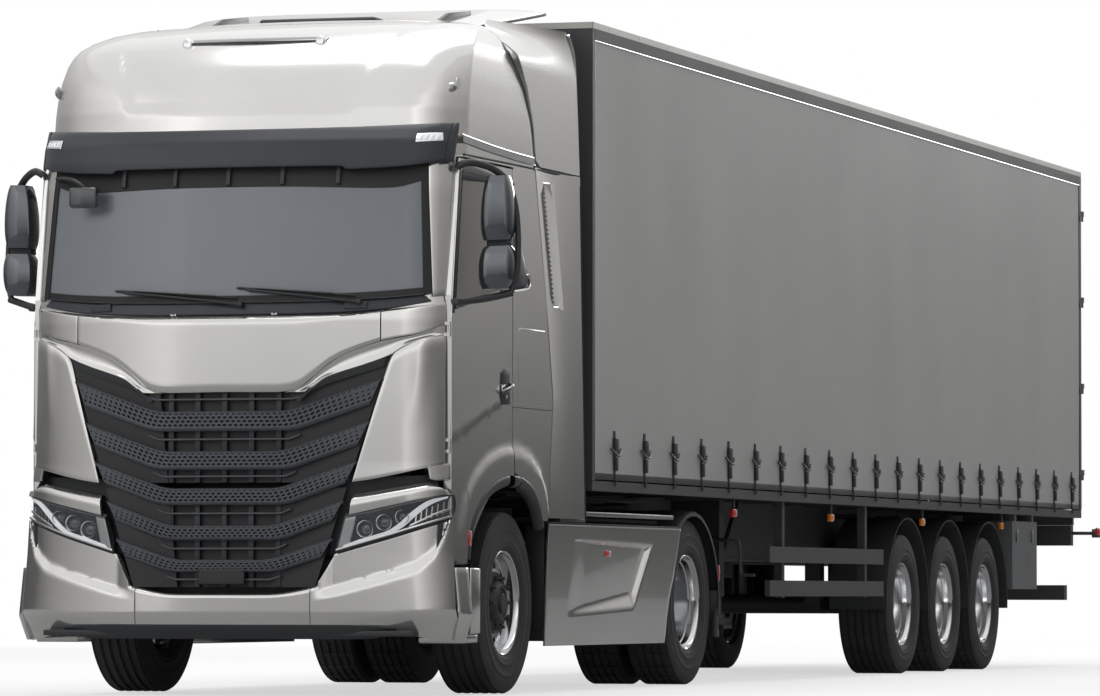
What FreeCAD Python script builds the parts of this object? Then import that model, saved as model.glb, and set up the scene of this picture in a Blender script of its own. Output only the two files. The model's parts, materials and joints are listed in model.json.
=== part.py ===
import FreeCAD, Part
import math
import os
import re
import Sketcher

# Articulated lorry: a two-axle tractor unit with a tilting cab and a three-axle
# curtain-sided semi-trailer.  Millimetres, +Z up, the lorry faces -Y and its left
# side is +X.  The origin lies on the ground at the middle of the whole length.
# Tractor pieces are drawn from the front axle, trailer pieces from the front wall
# of the trailer, and wheels from their own centre.

SIZES = (
    # alias, value, what it is
    ("front_overhang", 1490, "bumper nose to front axle"),
    ("wheelbase", 3785, "front axle to drive axle"),
    ("trailer_gap", 1420, "front axle to the trailer's front wall"),
    ("trailer_length", 13600, "front wall to closed rear doors"),
    ("rear_gear", 60, "lock rods behind the rear doors"),
    ("trailer_half", 1275, "half the trailer's width"),
    ("trailer_top", 4000, "top of the trailer roof"),
    ("load_floor", 1255, "top of the load floor"),
    ("coupling", 1155, "top of the fifth wheel"),
    ("kingpin_setback", 1600, "trailer front wall to kingpin"),
    ("kingpin_radius", 25.4, "kingpin"),
    ("pin_play", 0.5, "play around the kingpin"),
    ("fit", 0.3, "running clearance at hinge pins, hubs and seats"),
    ("frame_half", 465, "outer face of a tractor frame rail"),
    ("rail_wide", 80, "width of a tractor frame rail"),
    ("rail_wall", 8, "thickness of a tractor frame rail"),
    ("frame_low", 680, "underside of the tractor frame"),
    ("frame_top", 950, "top of the tractor frame"),
    ("frame_nose", 1250, "front axle forward to the frame's end"),
    ("frame_tail", 840, "drive axle back to the frame's end"),
    ("steer_radius", 525, "front tyre radius"),
    ("steer_wide", 315, "front tyre width"),
    ("steer_track", 1040, "front wheel centre from the middle"),
    ("steer_pin", 905, "steering kingpin from the middle"),
    ("steer_pin_radius", 22, "steering kingpin"),
    ("steer_spindle", 35, "front wheel spindle radius"),
    ("drive_radius", 525, "drive tyre radius"),
    ("drive_wide", 295, "drive tyre width"),
    ("drive_track", 872, "middle of the twin wheels from the middle"),
    ("twin_half", 175, "half the spacing of the twin tyres"),
    ("trailing_radius", 505, "trailer tyre radius"),
    ("trailing_wide", 385, "trailer tyre width"),
    ("trailing_track", 1007, "trailer wheel centre from the middle"),
    ("spindle", 45, "drive and trailer spindle radius"),
    ("rim_radius", 290, "bead seat radius of every rim"),
    ("rim_wall", 12, "rim thickness"),
    ("hub_radius", 110, "hub radius"),
    ("bogie", 9250, "trailer front wall to the middle axle"),
    ("axle_pitch", 1270, "spacing of the trailer axles"),
    ("cab_half", 1245, "half the cab's width"),
    ("cab_wall", 40, "thickness of cab walls and doors"),
    ("cab_back", 850, "front axle back to the cab's rear wall"),
    ("cab_floor", 1300, "underside of the cab floor"),
    ("cab_belt", 2180, "foot of the windscreen"),
    ("cab_eaves", 3040, "joint between cab and high roof"),
    ("cab_gap", 12, "shut gaps around doors and panels"),
    ("roof_top", 3900, "top of the high roof at the back"),
    ("door_front", 1180, "front axle forward to the door's front edge"),
    ("door_back", 70, "front axle forward to the door's rear edge"),
    ("door_low", 740, "lowest edge of the door"),
    ("arch_radius", 700, "wheel arch opening"),
    ("arch_rise", 545, "wheel arch centre above the ground"),
    ("arch_ahead", 70, "wheel arch centre ahead of the front axle"),
    ("trim_wide", 45, "width of the dark arch trim"),
    ("tilt_ahead", 1370, "cab tilt pivot ahead of the front axle"),
    ("tilt_high", 1050, "cab tilt pivot above the ground"),
    ("tilt_pin", 20, "cab tilt pin radius"),
    ("hinge_inset", 5, "cab door hinge inside the cab's side"),
    ("door_pin", 3, "cab door hinge pin radius"),
    ("hood_axis", 1455, "front flap hinge ahead of the front axle"),
    ("hood_hinge", 2132, "front flap hinge above the ground"),
    ("gate_axis", 1279, "rear door hinge from the middle"),
    ("gate_pin", 6, "rear door hinge pin radius"),
    ("gate_setback", 8, "rear door hinge behind the closed doors"),
    ("skirt_half", 1255, "outer face of the side skirts"),
    ("skirt_wall", 22, "thickness of the side skirts"),
    ("skirt_low", 270, "lower edge of the side skirts"),
    ("skirt_top", 990, "upper edge of the side skirts"),
    ("beam_out", 655, "middle of a trailer main beam"),
    ("beam_wide", 130, "flange width of a trailer main beam"),
    ("beam_low", 800, "underside of the trailer main beams"),
    ("neck_length", 3000, "shallow front part of the trailer beams"),
    ("rail_low", 1193, "underside of the trailer side rails"),
    ("leg_setback", 3850, "trailer front wall to landing legs"),
    ("door_thick", 40, "thickness of the trailer's rear doors"),
    ("door_gap", 5, "rear doors clear of their frame"),
    ("curtain_low", 1262, "hem of the side curtains"),
    ("roof_rail", 3895, "underside of the roof rails"),
)

document = FreeCAD.newDocument("articulated_lorry")
sheet = document.addObject("Spreadsheet::Sheet", "Sizes")
for row, (alias, value, meaning) in enumerate(SIZES, start=1):
    sheet.set("A%d" % row, alias)
    sheet.set("B%d" % row, str(value))
    sheet.set("C%d" % row, meaning)
    sheet.setAlias("B%d" % row, alias)
document.recompute()

ALIASES = set(alias for alias, value, meaning in SIZES)
TRACTOR = "(front_overhang - trailer_gap - trailer_length - rear_gear) / 2"
TRAILER = TRACTOR + " + trailer_gap"


def formula(text):
    """An expression with the sheet's name put before each alias."""
    def qualify(match):
        word = match.group(0)
        return "Sizes." + word if word in ALIASES else word
    return re.sub(r"[a-z_]+[a-z]", qualify, str(text))


def number(text):
    """The value of an expression, in millimetres."""
    return float(sheet.evalExpression(formula(text)))


def bind(thing, name, text):
    thing.setExpression(name, formula(text))


def place(thing, x, y, z):
    bind(thing, "Placement.Base.x", x)
    bind(thing, "Placement.Base.y", y)
    bind(thing, "Placement.Base.z", z)


def less(low, high):
    return "(%s) - (%s)" % (high, low)


def block(name, x, y, z):
    """A box from (low, high) pairs."""
    made = document.addObject("Part::Box", name)
    bind(made, "Length", less(*x))
    bind(made, "Width", less(*y))
    bind(made, "Height", less(*z))
    place(made, x[0], y[0], z[0])
    return made


TURNS = {
    "x": FreeCAD.Rotation(FreeCAD.Vector(0, 1, 0), 90),
    "y": FreeCAD.Rotation(FreeCAD.Vector(1, 0, 0), -90),
    "z": FreeCAD.Rotation(),
}


def rod(name, axis, radius, span, centre):
    """A cylinder along an axis. centre holds the other two coordinates in x, y, z order."""
    made = document.addObject("Part::Cylinder", name)
    made.Placement = FreeCAD.Placement(FreeCAD.Vector(), TURNS[axis])
    bind(made, "Radius", radius)
    bind(made, "Height", less(*span))
    start = list(centre)
    start.insert("xyz".index(axis), span[0])
    place(made, *start)
    return made


PLANES = {
    # plane normal: rotation that lays the outline's (u, v) along (y, z), (x, z) or (x, y)
    "x": FreeCAD.Rotation(FreeCAD.Vector(0, 1, 0), FreeCAD.Vector(0, 0, 1), FreeCAD.Vector(1, 0, 0), "ZXY"),
    "y": FreeCAD.Rotation(FreeCAD.Vector(1, 0, 0), FreeCAD.Vector(0, 0, 1), FreeCAD.Vector(0, -1, 0), "ZXY"),
    "z": FreeCAD.Rotation(),
}


def arc_through(start, via, end):
    """An arc that runs anticlockwise, as a sketch keeps it."""
    leftward = (via - start).cross(end - via).z > 0
    return Part.Arc(start, via, end) if leftward else Part.Arc(end, via, start)


def outline(name, axis, level, corners):
    """A closed sketch across an axis. A corner is (u, v), or (u, v, via_u, via_v)
    where an arc through the via point leads to the corner from the one before."""
    sketch = document.addObject("Sketcher::SketchObject", name)
    count = len(corners)
    spots = [FreeCAD.Vector(number(c[0]), number(c[1]), 0) for c in corners]
    geometry = []
    for index, corner in enumerate(corners):
        start = spots[index - 1]
        if len(corner) == 4:
            via = FreeCAD.Vector(number(corner[2]), number(corner[3]), 0)
            geometry.append(arc_through(start, via, spots[index]))
        else:
            geometry.append(Part.LineSegment(start, spots[index]))
    sketch.addGeometry(geometry)
    ends = []
    for index, corner in enumerate(corners):
        edge = sketch.Geometry[index]
        reached = edge.EndPoint.distanceToPoint(spots[index]) < edge.StartPoint.distanceToPoint(spots[index])
        ends.append((2, 1) if reached else (1, 2))
    for index in range(count):
        following = (index + 1) % count
        sketch.addConstraint(
            Sketcher.Constraint("Coincident", index, ends[index][0], following, ends[following][1]))
    for index, corner in enumerate(corners):
        pin_point(sketch, index, ends[index][0], corner[0], corner[1])
        if len(corner) == 4:
            via = Part.Point(FreeCAD.Vector(number(corner[2]), number(corner[3]), 0))
            helper = sketch.addGeometry(via, True)
            pin_point(sketch, helper, 1, corner[2], corner[3])
            sketch.addConstraint(Sketcher.Constraint("PointOnObject", helper, 1, index))
    sketch.Placement = FreeCAD.Placement(FreeCAD.Vector(), PLANES[axis])
    bind(sketch, "Placement.Base." + axis, level)
    return sketch


def pin_point(sketch, geometry, end, u, v):
    for kind, text in (("DistanceX", u), ("DistanceY", v)):
        index = sketch.addConstraint(Sketcher.Constraint(kind, -1, 1, geometry, end, number(text)))
        bind(sketch, "Constraints[%d]" % index, text)


def prism(name, axis, span, corners):
    """An outline carried along an axis from span[0] to span[1]."""
    level = span[1] if axis == "y" else span[0]
    made = document.addObject("Part::Extrusion", name)
    made.Base = outline(name + "_outline", axis, level, corners)
    made.DirMode = "Normal"
    made.Solid = True
    bind(made, "LengthFwd", less(*span))
    return made


def spun(name, corners):
    """An outline of (x, radius) corners turned about the X axis."""
    made = document.addObject("Part::Revolution", name)
    made.Source = outline(name + "_outline", "y", 0, corners)
    made.Axis = (1, 0, 0)
    made.Base = (0, 0, 0)
    made.Angle = 360
    made.Solid = True
    return made


def loft(name, sections):
    made = document.addObject("Part::Loft", name)
    made.Sections = sections
    made.Solid = True
    made.Ruled = True
    return made


def cut(name, base, *tools):
    made = document.addObject("Part::Cut", name)
    made.Base = base
    made.Tool = tools[0] if len(tools) == 1 else joined(name + "_tools", *tools)
    return made


def joined(name, *pieces):
    if len(pieces) == 1:
        return pieces[0]
    made = document.addObject("Part::MultiFuse", name)
    made.Shapes = list(pieces)
    made.Refine = True
    return made


def shared(name, first, second):
    made = document.addObject("Part::Common", name)
    made.Base = first
    made.Tool = second
    return made


def mirrored(piece):
    made = document.addObject("Part::Mirroring", piece.Name + "_other_side")
    made.Source = piece
    made.Normal = (1, 0, 0)
    return made


def both(piece):
    return [piece, mirrored(piece)]


def across(half):
    """An outline closed over both sides from corners of its +X half, low to high."""
    other = []
    for corner in reversed(half):
        other.append(("-(%s)" % corner[0], corner[1]))
    return list(half) + other


nodes = []


def node(label, pieces, x=0, y=0, z=0):
    """One sub-part: the solids of one file, placed in the row's frame."""
    made = document.addObject("Part::Compound", label)
    made.Label = label
    made.Links = list(pieces)
    place(made, x, y, z)
    nodes.append(made)
    return made


# Tractor frame -----------------------------------------------------------------

REAR = "wheelbase + frame_tail"


def rail(name, side):
    outer = block(name + "_bar", ("frame_half - rail_wide", "frame_half"),
                  ("-frame_nose", REAR), ("frame_low", "frame_top"))
    inner = block(name + "_hollow", ("frame_half - rail_wide - 1", "frame_half - rail_wall"),
                  ("-frame_nose - 1", REAR + " + 1"), ("frame_low + rail_wall", "frame_top - rail_wall"))
    made = cut(name, outer, inner)
    return mirrored(made) if side < 0 else made


def chassis_frame():
    pieces = [rail("rail_left", 1), rail("rail_right", -1)]
    members = (
        # name, y of its middle
        ("nose_member", "-frame_nose + 40"),
        ("gearbox_member", "1560"),
        ("middle_member", "2350"),
        ("axle_member", "wheelbase - 560"),
        ("tail_member", REAR + " - 40"),
    )
    for name, y in members:
        span = (y + " - 40", y + " + 40")
        pieces.append(block(name, ("-frame_half + 4", "frame_half - 4"), span,
                            ("frame_low + 60", "frame_top - 60")))
    pieces.append(block("bumper_beam", ("-1050", "1050"), ("-frame_nose - 60", "-frame_nose + 10"),
                        ("frame_low - 20", "frame_low + 110")))
    for side, name in ((1, "left"), (-1, "right")):
        ear = prism("tilt_ear_" + name, "x", ("frame_half - 4", "frame_half + 16"), [
            ("-tilt_ahead - 40", "tilt_high - 40"), ("-tilt_ahead + 60", "frame_low + 40"),
            ("-frame_nose + 60", "frame_low + 40"), ("-frame_nose + 60", "frame_top"),
            ("-tilt_ahead + 60", "tilt_high + 40"), ("-tilt_ahead - 40", "tilt_high + 40")])
        pin = rod("tilt_pin_" + name, "x", "tilt_pin", ("frame_half - 60", "frame_half + 10"),
                  ("-tilt_ahead", "tilt_high"))
        post = block("cab_post_" + name, ("frame_half - rail_wide", "frame_half"),
                     ("cab_back - 170", "cab_back - 90"), ("frame_top - 6", "cab_floor - fit"))
        for piece in (ear, pin, post):
            pieces.append(mirrored(piece) if side < 0 else piece)
    return node("chassis_frame", [joined("tractor_frame", *pieces)], y=TRACTOR)


def engine_block():
    engine = block("engine", ("-370", "370"), ("-790", "560"), ("480", "1270"))
    gearbox = block("gearbox", ("-230", "230"), ("550", "1480"), ("430", "930"))
    shaft = rod("prop_shaft", "y", "55", ("1400", "wheelbase - 330"), ("0", "600"))
    mounts = block("engine_mounts", ("-frame_half + rail_wall", "frame_half - rail_wall"),
                   ("-300", "-180"), ("frame_low + rail_wall", "frame_low + 60"))
    return node("engine_block", [joined("power_unit", engine, gearbox, shaft, mounts)], y=TRACTOR)


def front_axle():
    beam = block("axle_beam", ("-790", "790"), ("-45", "45"), ("385", "472"))
    pieces = [beam]
    for side, name in ((1, "left"), (-1, "right")):
        riser = block("axle_riser_" + name, ("720", "steer_pin - 10"), ("-42", "42"),
                      ("steer_radius - 70", "steer_radius + 30"))
        eye = rod("axle_eye_" + name, "z", "58", ("steer_radius - 84", "steer_radius + 74"),
                  ("steer_pin", "0"))
        bore = rod("axle_bore_" + name, "z", "steer_pin_radius + fit",
                   ("steer_radius - 90", "steer_radius + 80"), ("steer_pin", "0"))
        spring = prism("leaf_spring_" + name, "x", ("frame_half - 70", "frame_half - 5"), [
            ("-780", "640"), ("0", "470"), ("780", "640"), ("780", "frame_low"),
            ("730", "frame_low"), ("700", "660"), ("0", "530"), ("-700", "660"),
            ("-730", "frame_low"), ("-780", "frame_low")])
        arm = cut("axle_end_" + name, joined("axle_stub_" + name, riser, eye), bore)
        for piece in (arm, spring):
            pieces.append(mirrored(piece) if side < 0 else piece)
    return node("front_axle", [joined("steer_axle", *pieces)], y=TRACTOR)


def drive_axle():
    tube = rod("drive_tube", "x", "70", ("-560", "560"), ("wheelbase", "drive_radius"))
    stub = rod("drive_stub", "x", "spindle", ("-drive_track - 50", "drive_track + 50"),
               ("wheelbase", "drive_radius"))
    housing = rod("differential", "y", "205", ("wheelbase - 150", "wheelbase + 160"), ("0", "drive_radius"))
    nose = rod("pinion_nose", "y", "105", ("wheelbase - 330", "wheelbase - 100"), ("0", "drive_radius + 40"))
    pieces = [tube, stub, housing, nose]
    for side, name in ((1, "left"), (-1, "right")):
        seat = block("spring_seat_" + name, ("frame_half - 75", "frame_half - 5"),
                     ("wheelbase - 60", "wheelbase + 60"), ("drive_radius + 40", "frame_low"))
        arm = block("spring_arm_" + name, ("frame_half - 75", "frame_half - 5"),
                    ("wheelbase - 500", "wheelbase + 480"), ("drive_radius + 45", "drive_radius + 90"))
        bag = rod("air_spring_" + name, "z", "62", ("frame_low - 75", "frame_low"),
                  ("frame_half - 45", "wheelbase + 400"))
        hanger = block("arm_hanger_" + name, ("frame_half - 75", "frame_half - 5"),
                       ("wheelbase - 520", "wheelbase - 460"), ("drive_radius + 45", "frame_low"))
        for piece in (seat, arm, bag, hanger):
            pieces.append(mirrored(piece) if side < 0 else piece)
    return node("drive_axle", [joined("drive_axle_body", *pieces)], y=TRACTOR)


def fifth_wheel():
    pin_y = "trailer_gap + kingpin_setback"
    base = block("coupling_base", ("-frame_half", "frame_half"), (pin_y + " - 420", pin_y + " + 420"),
                 ("frame_top", "frame_top + 20"))
    stand = block("coupling_stand", ("-420", "420"), (pin_y + " - 120", pin_y + " + 120"),
                  ("frame_top + 10", "coupling - 30"))
    gap = block("coupling_stand_gap", ("-300", "300"), (pin_y + " - 130", pin_y + " + 130"),
                ("frame_top + 20", "coupling - 45"))
    plate = prism("coupling_plate", "z", ("coupling - 45", "coupling"), across([
        ("250", pin_y + " - 430"), ("450", pin_y + " - 250"), ("450", pin_y + " + 120"),
        ("330", pin_y + " + 470"), ("150", pin_y + " + 470"), ("28", pin_y + " + 180"), ("28", pin_y)]))
    throat = rod("coupling_throat", "z", "kingpin_radius + pin_play", ("coupling - 110", "coupling + 5"),
                 ("0", pin_y))
    body = cut("coupling_body", joined("coupling_raw", base, cut("coupling_ears", stand, gap), plate), throat)
    return node("fifth_wheel", [body], y=TRACTOR)


def fuel_tanks():
    tank = prism("fuel_tank", "y", ("1020", "2680"), [
        ("590", "360"), ("1130", "360"), ("1205", "430"), ("1205", "900"),
        ("1150", "960"), ("590", "960")])
    strap_low = block("tank_bracket_front", ("frame_half", "595"), ("1200", "1260"), ("700", "930"))
    strap_high = block("tank_bracket_rear", ("frame_half", "595"), ("2440", "2500"), ("700", "930"))
    stay_front = block("skirt_stay_front", ("1200", "skirt_half - skirt_wall"), ("1200", "1240"),
                       ("600", "700"))
    stay_rear = block("skirt_stay_rear", ("1200", "skirt_half - skirt_wall"), ("2440", "2480"),
                      ("600", "700"))
    body = joined("fuel_tank_body", tank, strap_low, strap_high, stay_front, stay_rear)
    return node("fuel_tanks", both(body), y=TRACTOR)


def side_skirts():
    panel = prism("skirt_panel", "x", ("skirt_half - skirt_wall", "skirt_half"), [
        ("632", "skirt_low"), ("3108", "skirt_low"), ("3380", "skirt_top"), ("622", "skirt_top")])
    ledge = block("skirt_ledge", ("skirt_half - 130", "skirt_half - skirt_wall + 2"), ("1449", "3290"),
                  ("skirt_top - 20", "skirt_top"))
    return node("side_skirts", both(joined("skirt", panel, ledge)), y=TRACTOR)


def guard_arc(name, radius, wall, y, z, x, cut_below):
    """Half-round guard over a wheel, open below the height cut_below."""
    shell = rod(name + "_out", "x", radius, x, (y, z))
    hollow = rod(name + "_in", "x", "%s - %s" % (radius, wall), ("(%s) - 5" % x[0], "(%s) + 5" % x[1]), (y, z))
    below = block(name + "_below", ("(%s) - 5" % x[0], "(%s) + 5" % x[1]),
                  ("(%s) - 900" % y, "(%s) + 900" % y), ("-500", cut_below))
    return cut(name, shell, hollow, below)


def drive_mudguards():
    guard = guard_arc("drive_guard", "drive_radius + 60", "12", "wheelbase", "drive_radius",
                      ("530", "skirt_half - skirt_wall - 8"), "drive_radius - 120")
    stay = block("drive_guard_stay", ("frame_half", "540"), ("wheelbase - 60", "wheelbase + 60"),
                 ("frame_top - 60", "drive_radius + 540"))
    inner = block("drive_guard_plate", ("525", "540"), ("wheelbase - 140", "wheelbase + 140"),
                  ("frame_top - 60", "drive_radius + 562"))
    return node("drive_mudguards", both(joined("drive_guard_body", guard, stay, inner)), y=TRACTOR)


# Front skin: bands of one plan shape, cut to each panel's front view ------------------

def band_section(name, level, nose, wide, wall):
    """Plan section of a front skin: a shallow centre arc and two tighter corner arcs."""
    centre = 0.74
    shape = (
        # share of the half width and millimetres behind the nose, of an arc's end and via point
        (1.0, 330, 0.93, 165),
        (centre, 78, 0.0, 0),
    )
    outer = [
        ("-(%s)" % wide, "%s + %s" % (nose, shape[0][1])),
        ("-%s * (%s)" % (centre, wide), "%s + %s" % (nose, shape[1][1]),
         "-%s * (%s)" % (shape[0][2], wide), "%s + %s" % (nose, shape[0][3])),
        ("%s * (%s)" % (centre, wide), "%s + %s" % (nose, shape[1][1]), "0", nose),
        (wide, "%s + %s" % (nose, shape[0][1]),
         "%s * (%s)" % (shape[0][2], wide), "%s + %s" % (nose, shape[0][3])),
    ]
    inside = "(%s) - (%s)" % (wide, wall)
    inner_nose = "%s + %s" % (nose, wall)
    inner = [
        (inside, "%s + %s" % (nose, shape[0][1])),
        ("%s * (%s)" % (centre, inside), "%s + %s" % (inner_nose, shape[1][1]),
         "%s * (%s)" % (shape[0][2], inside), "%s + %s" % (inner_nose, shape[0][3])),
        ("-%s * (%s)" % (centre, inside), "%s + %s" % (inner_nose, shape[1][1]), "0", inner_nose),
        ("-(%s)" % inside, "%s + %s" % (nose, shape[0][1]),
         "-%s * (%s)" % (shape[0][2], inside), "%s + %s" % (inner_nose, shape[0][3])),
    ]
    return outline(name, "z", level, outer + inner)


def band(name, sections, wall):
    """A curved skin between plan sections given as (level, nose, half width)."""
    made = []
    for index, (level, nose, wide) in enumerate(sections):
        made.append(band_section("%s_section_%d" % (name, index), level, nose, wide, wall))
    return loft(name, made)


def front_view(name, corners):
    """A cutter that keeps or removes what lies inside an (x, z) outline."""
    return prism(name, "y", ("-1700", "-900"), corners)


GRILLE_FOOT = 600
GRILLE_HEAD = 1895


def grille_edge(level):
    """Half width of the grille opening at a height."""
    return "540 + 0.318 * (%s - 600)" % level


def front_bumper():
    skin = band("bumper_skin", [("400", "-front_overhang", "1300"), ("1180", "-front_overhang + 45", "1262")], "45")
    opening = front_view("bumper_grille_cut", across([
        (grille_edge(GRILLE_FOOT), str(GRILLE_FOOT)), (grille_edge(1200), "1200")]))
    lamp = front_view("bumper_lamp_cut", lamp_outline("fit"))
    above = front_view("bumper_top_cut", [("700", "1140"), ("1000", "1150"), ("1400", "1195"),
                                          ("1400", "1300"), ("700", "1300")])
    shell = cut("bumper_shell", skin, opening, lamp, mirrored(lamp), above, mirrored(above),
                door_way("bumper_door_way"), tilt_way("bumper_tilt_way"))
    lip = band("bumper_lip", [("330", "-front_overhang + 60", "1240"), ("402", "-front_overhang + 40", "1260")], "60")
    stay = block("bumper_stay", ("590", "1000"), ("-1420", "-frame_nose - 60"), ("frame_low - 60", "frame_low + 40"))
    return node("front_bumper", [joined("bumper", shell, lip, stay, mirrored(stay))], y=TRACTOR)


def door_way(name):
    """What the cab doors and their hinges keep free of the front panels."""
    return block(name, ("-1400", "1400"), ("-door_front - 24", "-800"), ("door_low - 15", "2400"))


def tilt_way(name):
    """What the front edge of a door sweeps when the cab tilts."""
    return prism(name, "x", ("-1400", "1400"), [
        ("-tilt_ahead + 158", "tilt_high + 60"), ("-800", "tilt_high + 60"), ("-800", "tilt_high + 150"),
        ("-tilt_ahead + 108", "tilt_high + 150")])


def lamp_outline(grow):
    """Front view of a headlamp, left side."""
    return [("703 - %s" % grow, "1096 + %s" % grow), ("662 - %s" % grow, "812 - %s" % grow),
            ("1190 + %s" % grow, "975 - %s" % grow), ("1330", "1010"), ("1330", "1127 + %s" % grow),
            ("1248 + %s" % grow, "1127 + %s" % grow)]


def headlamps():
    skin = band("lamp_skin", [("780", "-front_overhang + 12", "1278"), ("1180", "-front_overhang + 48", "1258")], "90")
    lamp = shared("headlamp_full", skin, front_view("lamp_view", lamp_outline("0")))
    lamp = cut("headlamp", lamp, door_way("lamp_door_way"), tilt_way("lamp_tilt_way"))
    return node("headlamps", both(lamp), y=TRACTOR)


def chevron(name, top, tall, reach, nose):
    """One V-shaped grille bar: a level middle and two rising wings."""
    middle = 430
    rise = 130
    view = front_view(name + "_view", across([
        (str(middle), str(top - tall)), (reach, str(top - tall + rise)),
        (reach, str(top + rise)), (str(middle), str(top))]))
    skin = band(name + "_skin", [(str(top - tall - 30), nose, "1262"), (str(top + rise + 30), nose, "1262")], "35")
    return shared(name, skin, view)


def grille(label, low, high, bars, frame_y):
    """A ribbed back plate with chevron bars in front of it."""
    plate = band(label + "_skin", [(str(low), "-front_overhang + 40", "1240"),
                                   (str(high), "-front_overhang + 46", "1240")], "12")
    view = front_view(label + "_view", across([
        ("%s - 8" % grille_edge(low), str(low)), ("%s - 8" % grille_edge(high), str(high))]))
    pieces = [shared(label + "_plate", plate, view)]
    for index, (top, tall) in enumerate(bars):
        reach = "%s - 20" % grille_edge(top)
        pieces.append(chevron("%s_bar_%d" % (label, index), top, tall, reach, frame_y))
    return joined(label + "_body", *pieces)


def lower_grille():
    bars = ((761, 50), (951, 60))
    body = grille("lower_mesh", GRILLE_FOOT + 8, 1160, bars, "-front_overhang + 10")
    stay = block("grille_stay", ("-150", "150"), ("-1435", "-frame_nose - 60"), ("frame_low - 10", "frame_low + 60"))
    return node("lower_grille", [joined("lower_grille_body", body, stay)], y=TRACTOR)


STEP_FRONT = "-1090"


def entry_steps():
    tray = block("step_tray", ("1010", "1290"), (STEP_FRONT, "-760"), ("300", "345"))
    rear = block("step_box", ("1010", "1285"), ("-930", "-760"), ("340", "725"))
    back = block("step_back", ("1010", "1040"), (STEP_FRONT, "-920"), ("340", "725"))
    tread = block("step_tread", ("1030", "1270"), (STEP_FRONT, "-920"), ("520", "545"))
    link = block("step_link", ("frame_half", "1020"), ("-1060", "-980"), ("frame_low + 20", "frame_low + 45"))
    return node("entry_steps", both(joined("steps", tray, rear, back, tread, link)), y=TRACTOR)


# Cab --------------------------------------------------------------------------------

FRONT_WALL = "-front_overhang + 100"
EAVES_WALL = "-front_overhang + 320"


def cab_plan(name, level, nose, wide, back):
    """Plan outline of the cab's walls: straight sides, curved front."""
    return outline(name, "z", level, [
        ("-(%s)" % wide, back), ("-(%s)" % wide, "%s + 230" % nose),
        ("-0.74 * (%s)" % wide, "%s + 60" % nose, "-0.92 * (%s)" % wide, "%s + 135" % nose),
        ("0.74 * (%s)" % wide, "%s + 60" % nose, "0", nose),
        (wide, "%s + 230" % nose, "0.92 * (%s)" % wide, "%s + 135" % nose),
        (wide, back)])


def cab_hull(name, inset, foot, head):
    """The cab's outer form, or a smaller one inside it: upright to the belt, then raked."""
    wide = "cab_half - (%s)" % inset
    back = "cab_back - (%s)" % inset
    low = loft(name + "_low", [
        cab_plan(name + "_foot", foot, FRONT_WALL + " + " + inset, wide, back),
        cab_plan(name + "_belt", "cab_belt", FRONT_WALL + " + " + inset, wide, back)])
    high = loft(name + "_high", [
        cab_plan(name + "_belt_again", "cab_belt", FRONT_WALL + " + " + inset, wide, back),
        cab_plan(name + "_eaves", head, EAVES_WALL + " + " + inset, wide, back)])
    return joined(name, low, high)


shapes = {}


def cab_outer():
    """The cab's outer form, kept once for every piece that is cut to it."""
    if "cab" not in shapes:
        shapes["cab"] = cab_hull("cab_outer", "0", "cab_floor", "cab_eaves")
    return shapes["cab"]


def cab_clear():
    """The cab's outer form with a running clearance, for what is seated on it."""
    if "clear" not in shapes:
        shapes["clear"] = cab_hull("cab_clear", "-fit", "cab_floor", "cab_eaves")
    return shapes["clear"]


def on_arch(reach, degrees):
    """A point of a circle about the wheel arch's centre, as (y, z)."""
    turn = math.radians(degrees)
    return ("-arch_ahead + (%s) * %.5f" % (reach, math.cos(turn)),
            "arch_rise + (%s) * %.5f" % (reach, math.sin(turn)))


ARCH_FRONT = 89.08
ARCH_BACK = 40
DOOR_EDGE = "-door_back + cab_gap"
HINGE_LEVELS = (1400, 2050)
DOOR_AXIS = "cab_half - hinge_inset"


def door_hinge_cheeks(level):
    """The cab's half of a door hinge: two cheeks and the pin between them."""
    pieces = [rod("door_pin_%d" % level, "z", "door_pin", (str(level - 40), str(level + 40)),
                  (DOOR_AXIS, "-door_front - 8"))]
    for index, low in enumerate((level - 40, level + 22)):
        pieces.append(block("door_cheek_%d_%d" % (level, index), ("cab_half - 55", DOOR_AXIS + " + 4"),
                            ("-door_front - 20", "-door_front - 5"), (str(low), str(low + 18))))
    return pieces


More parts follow.
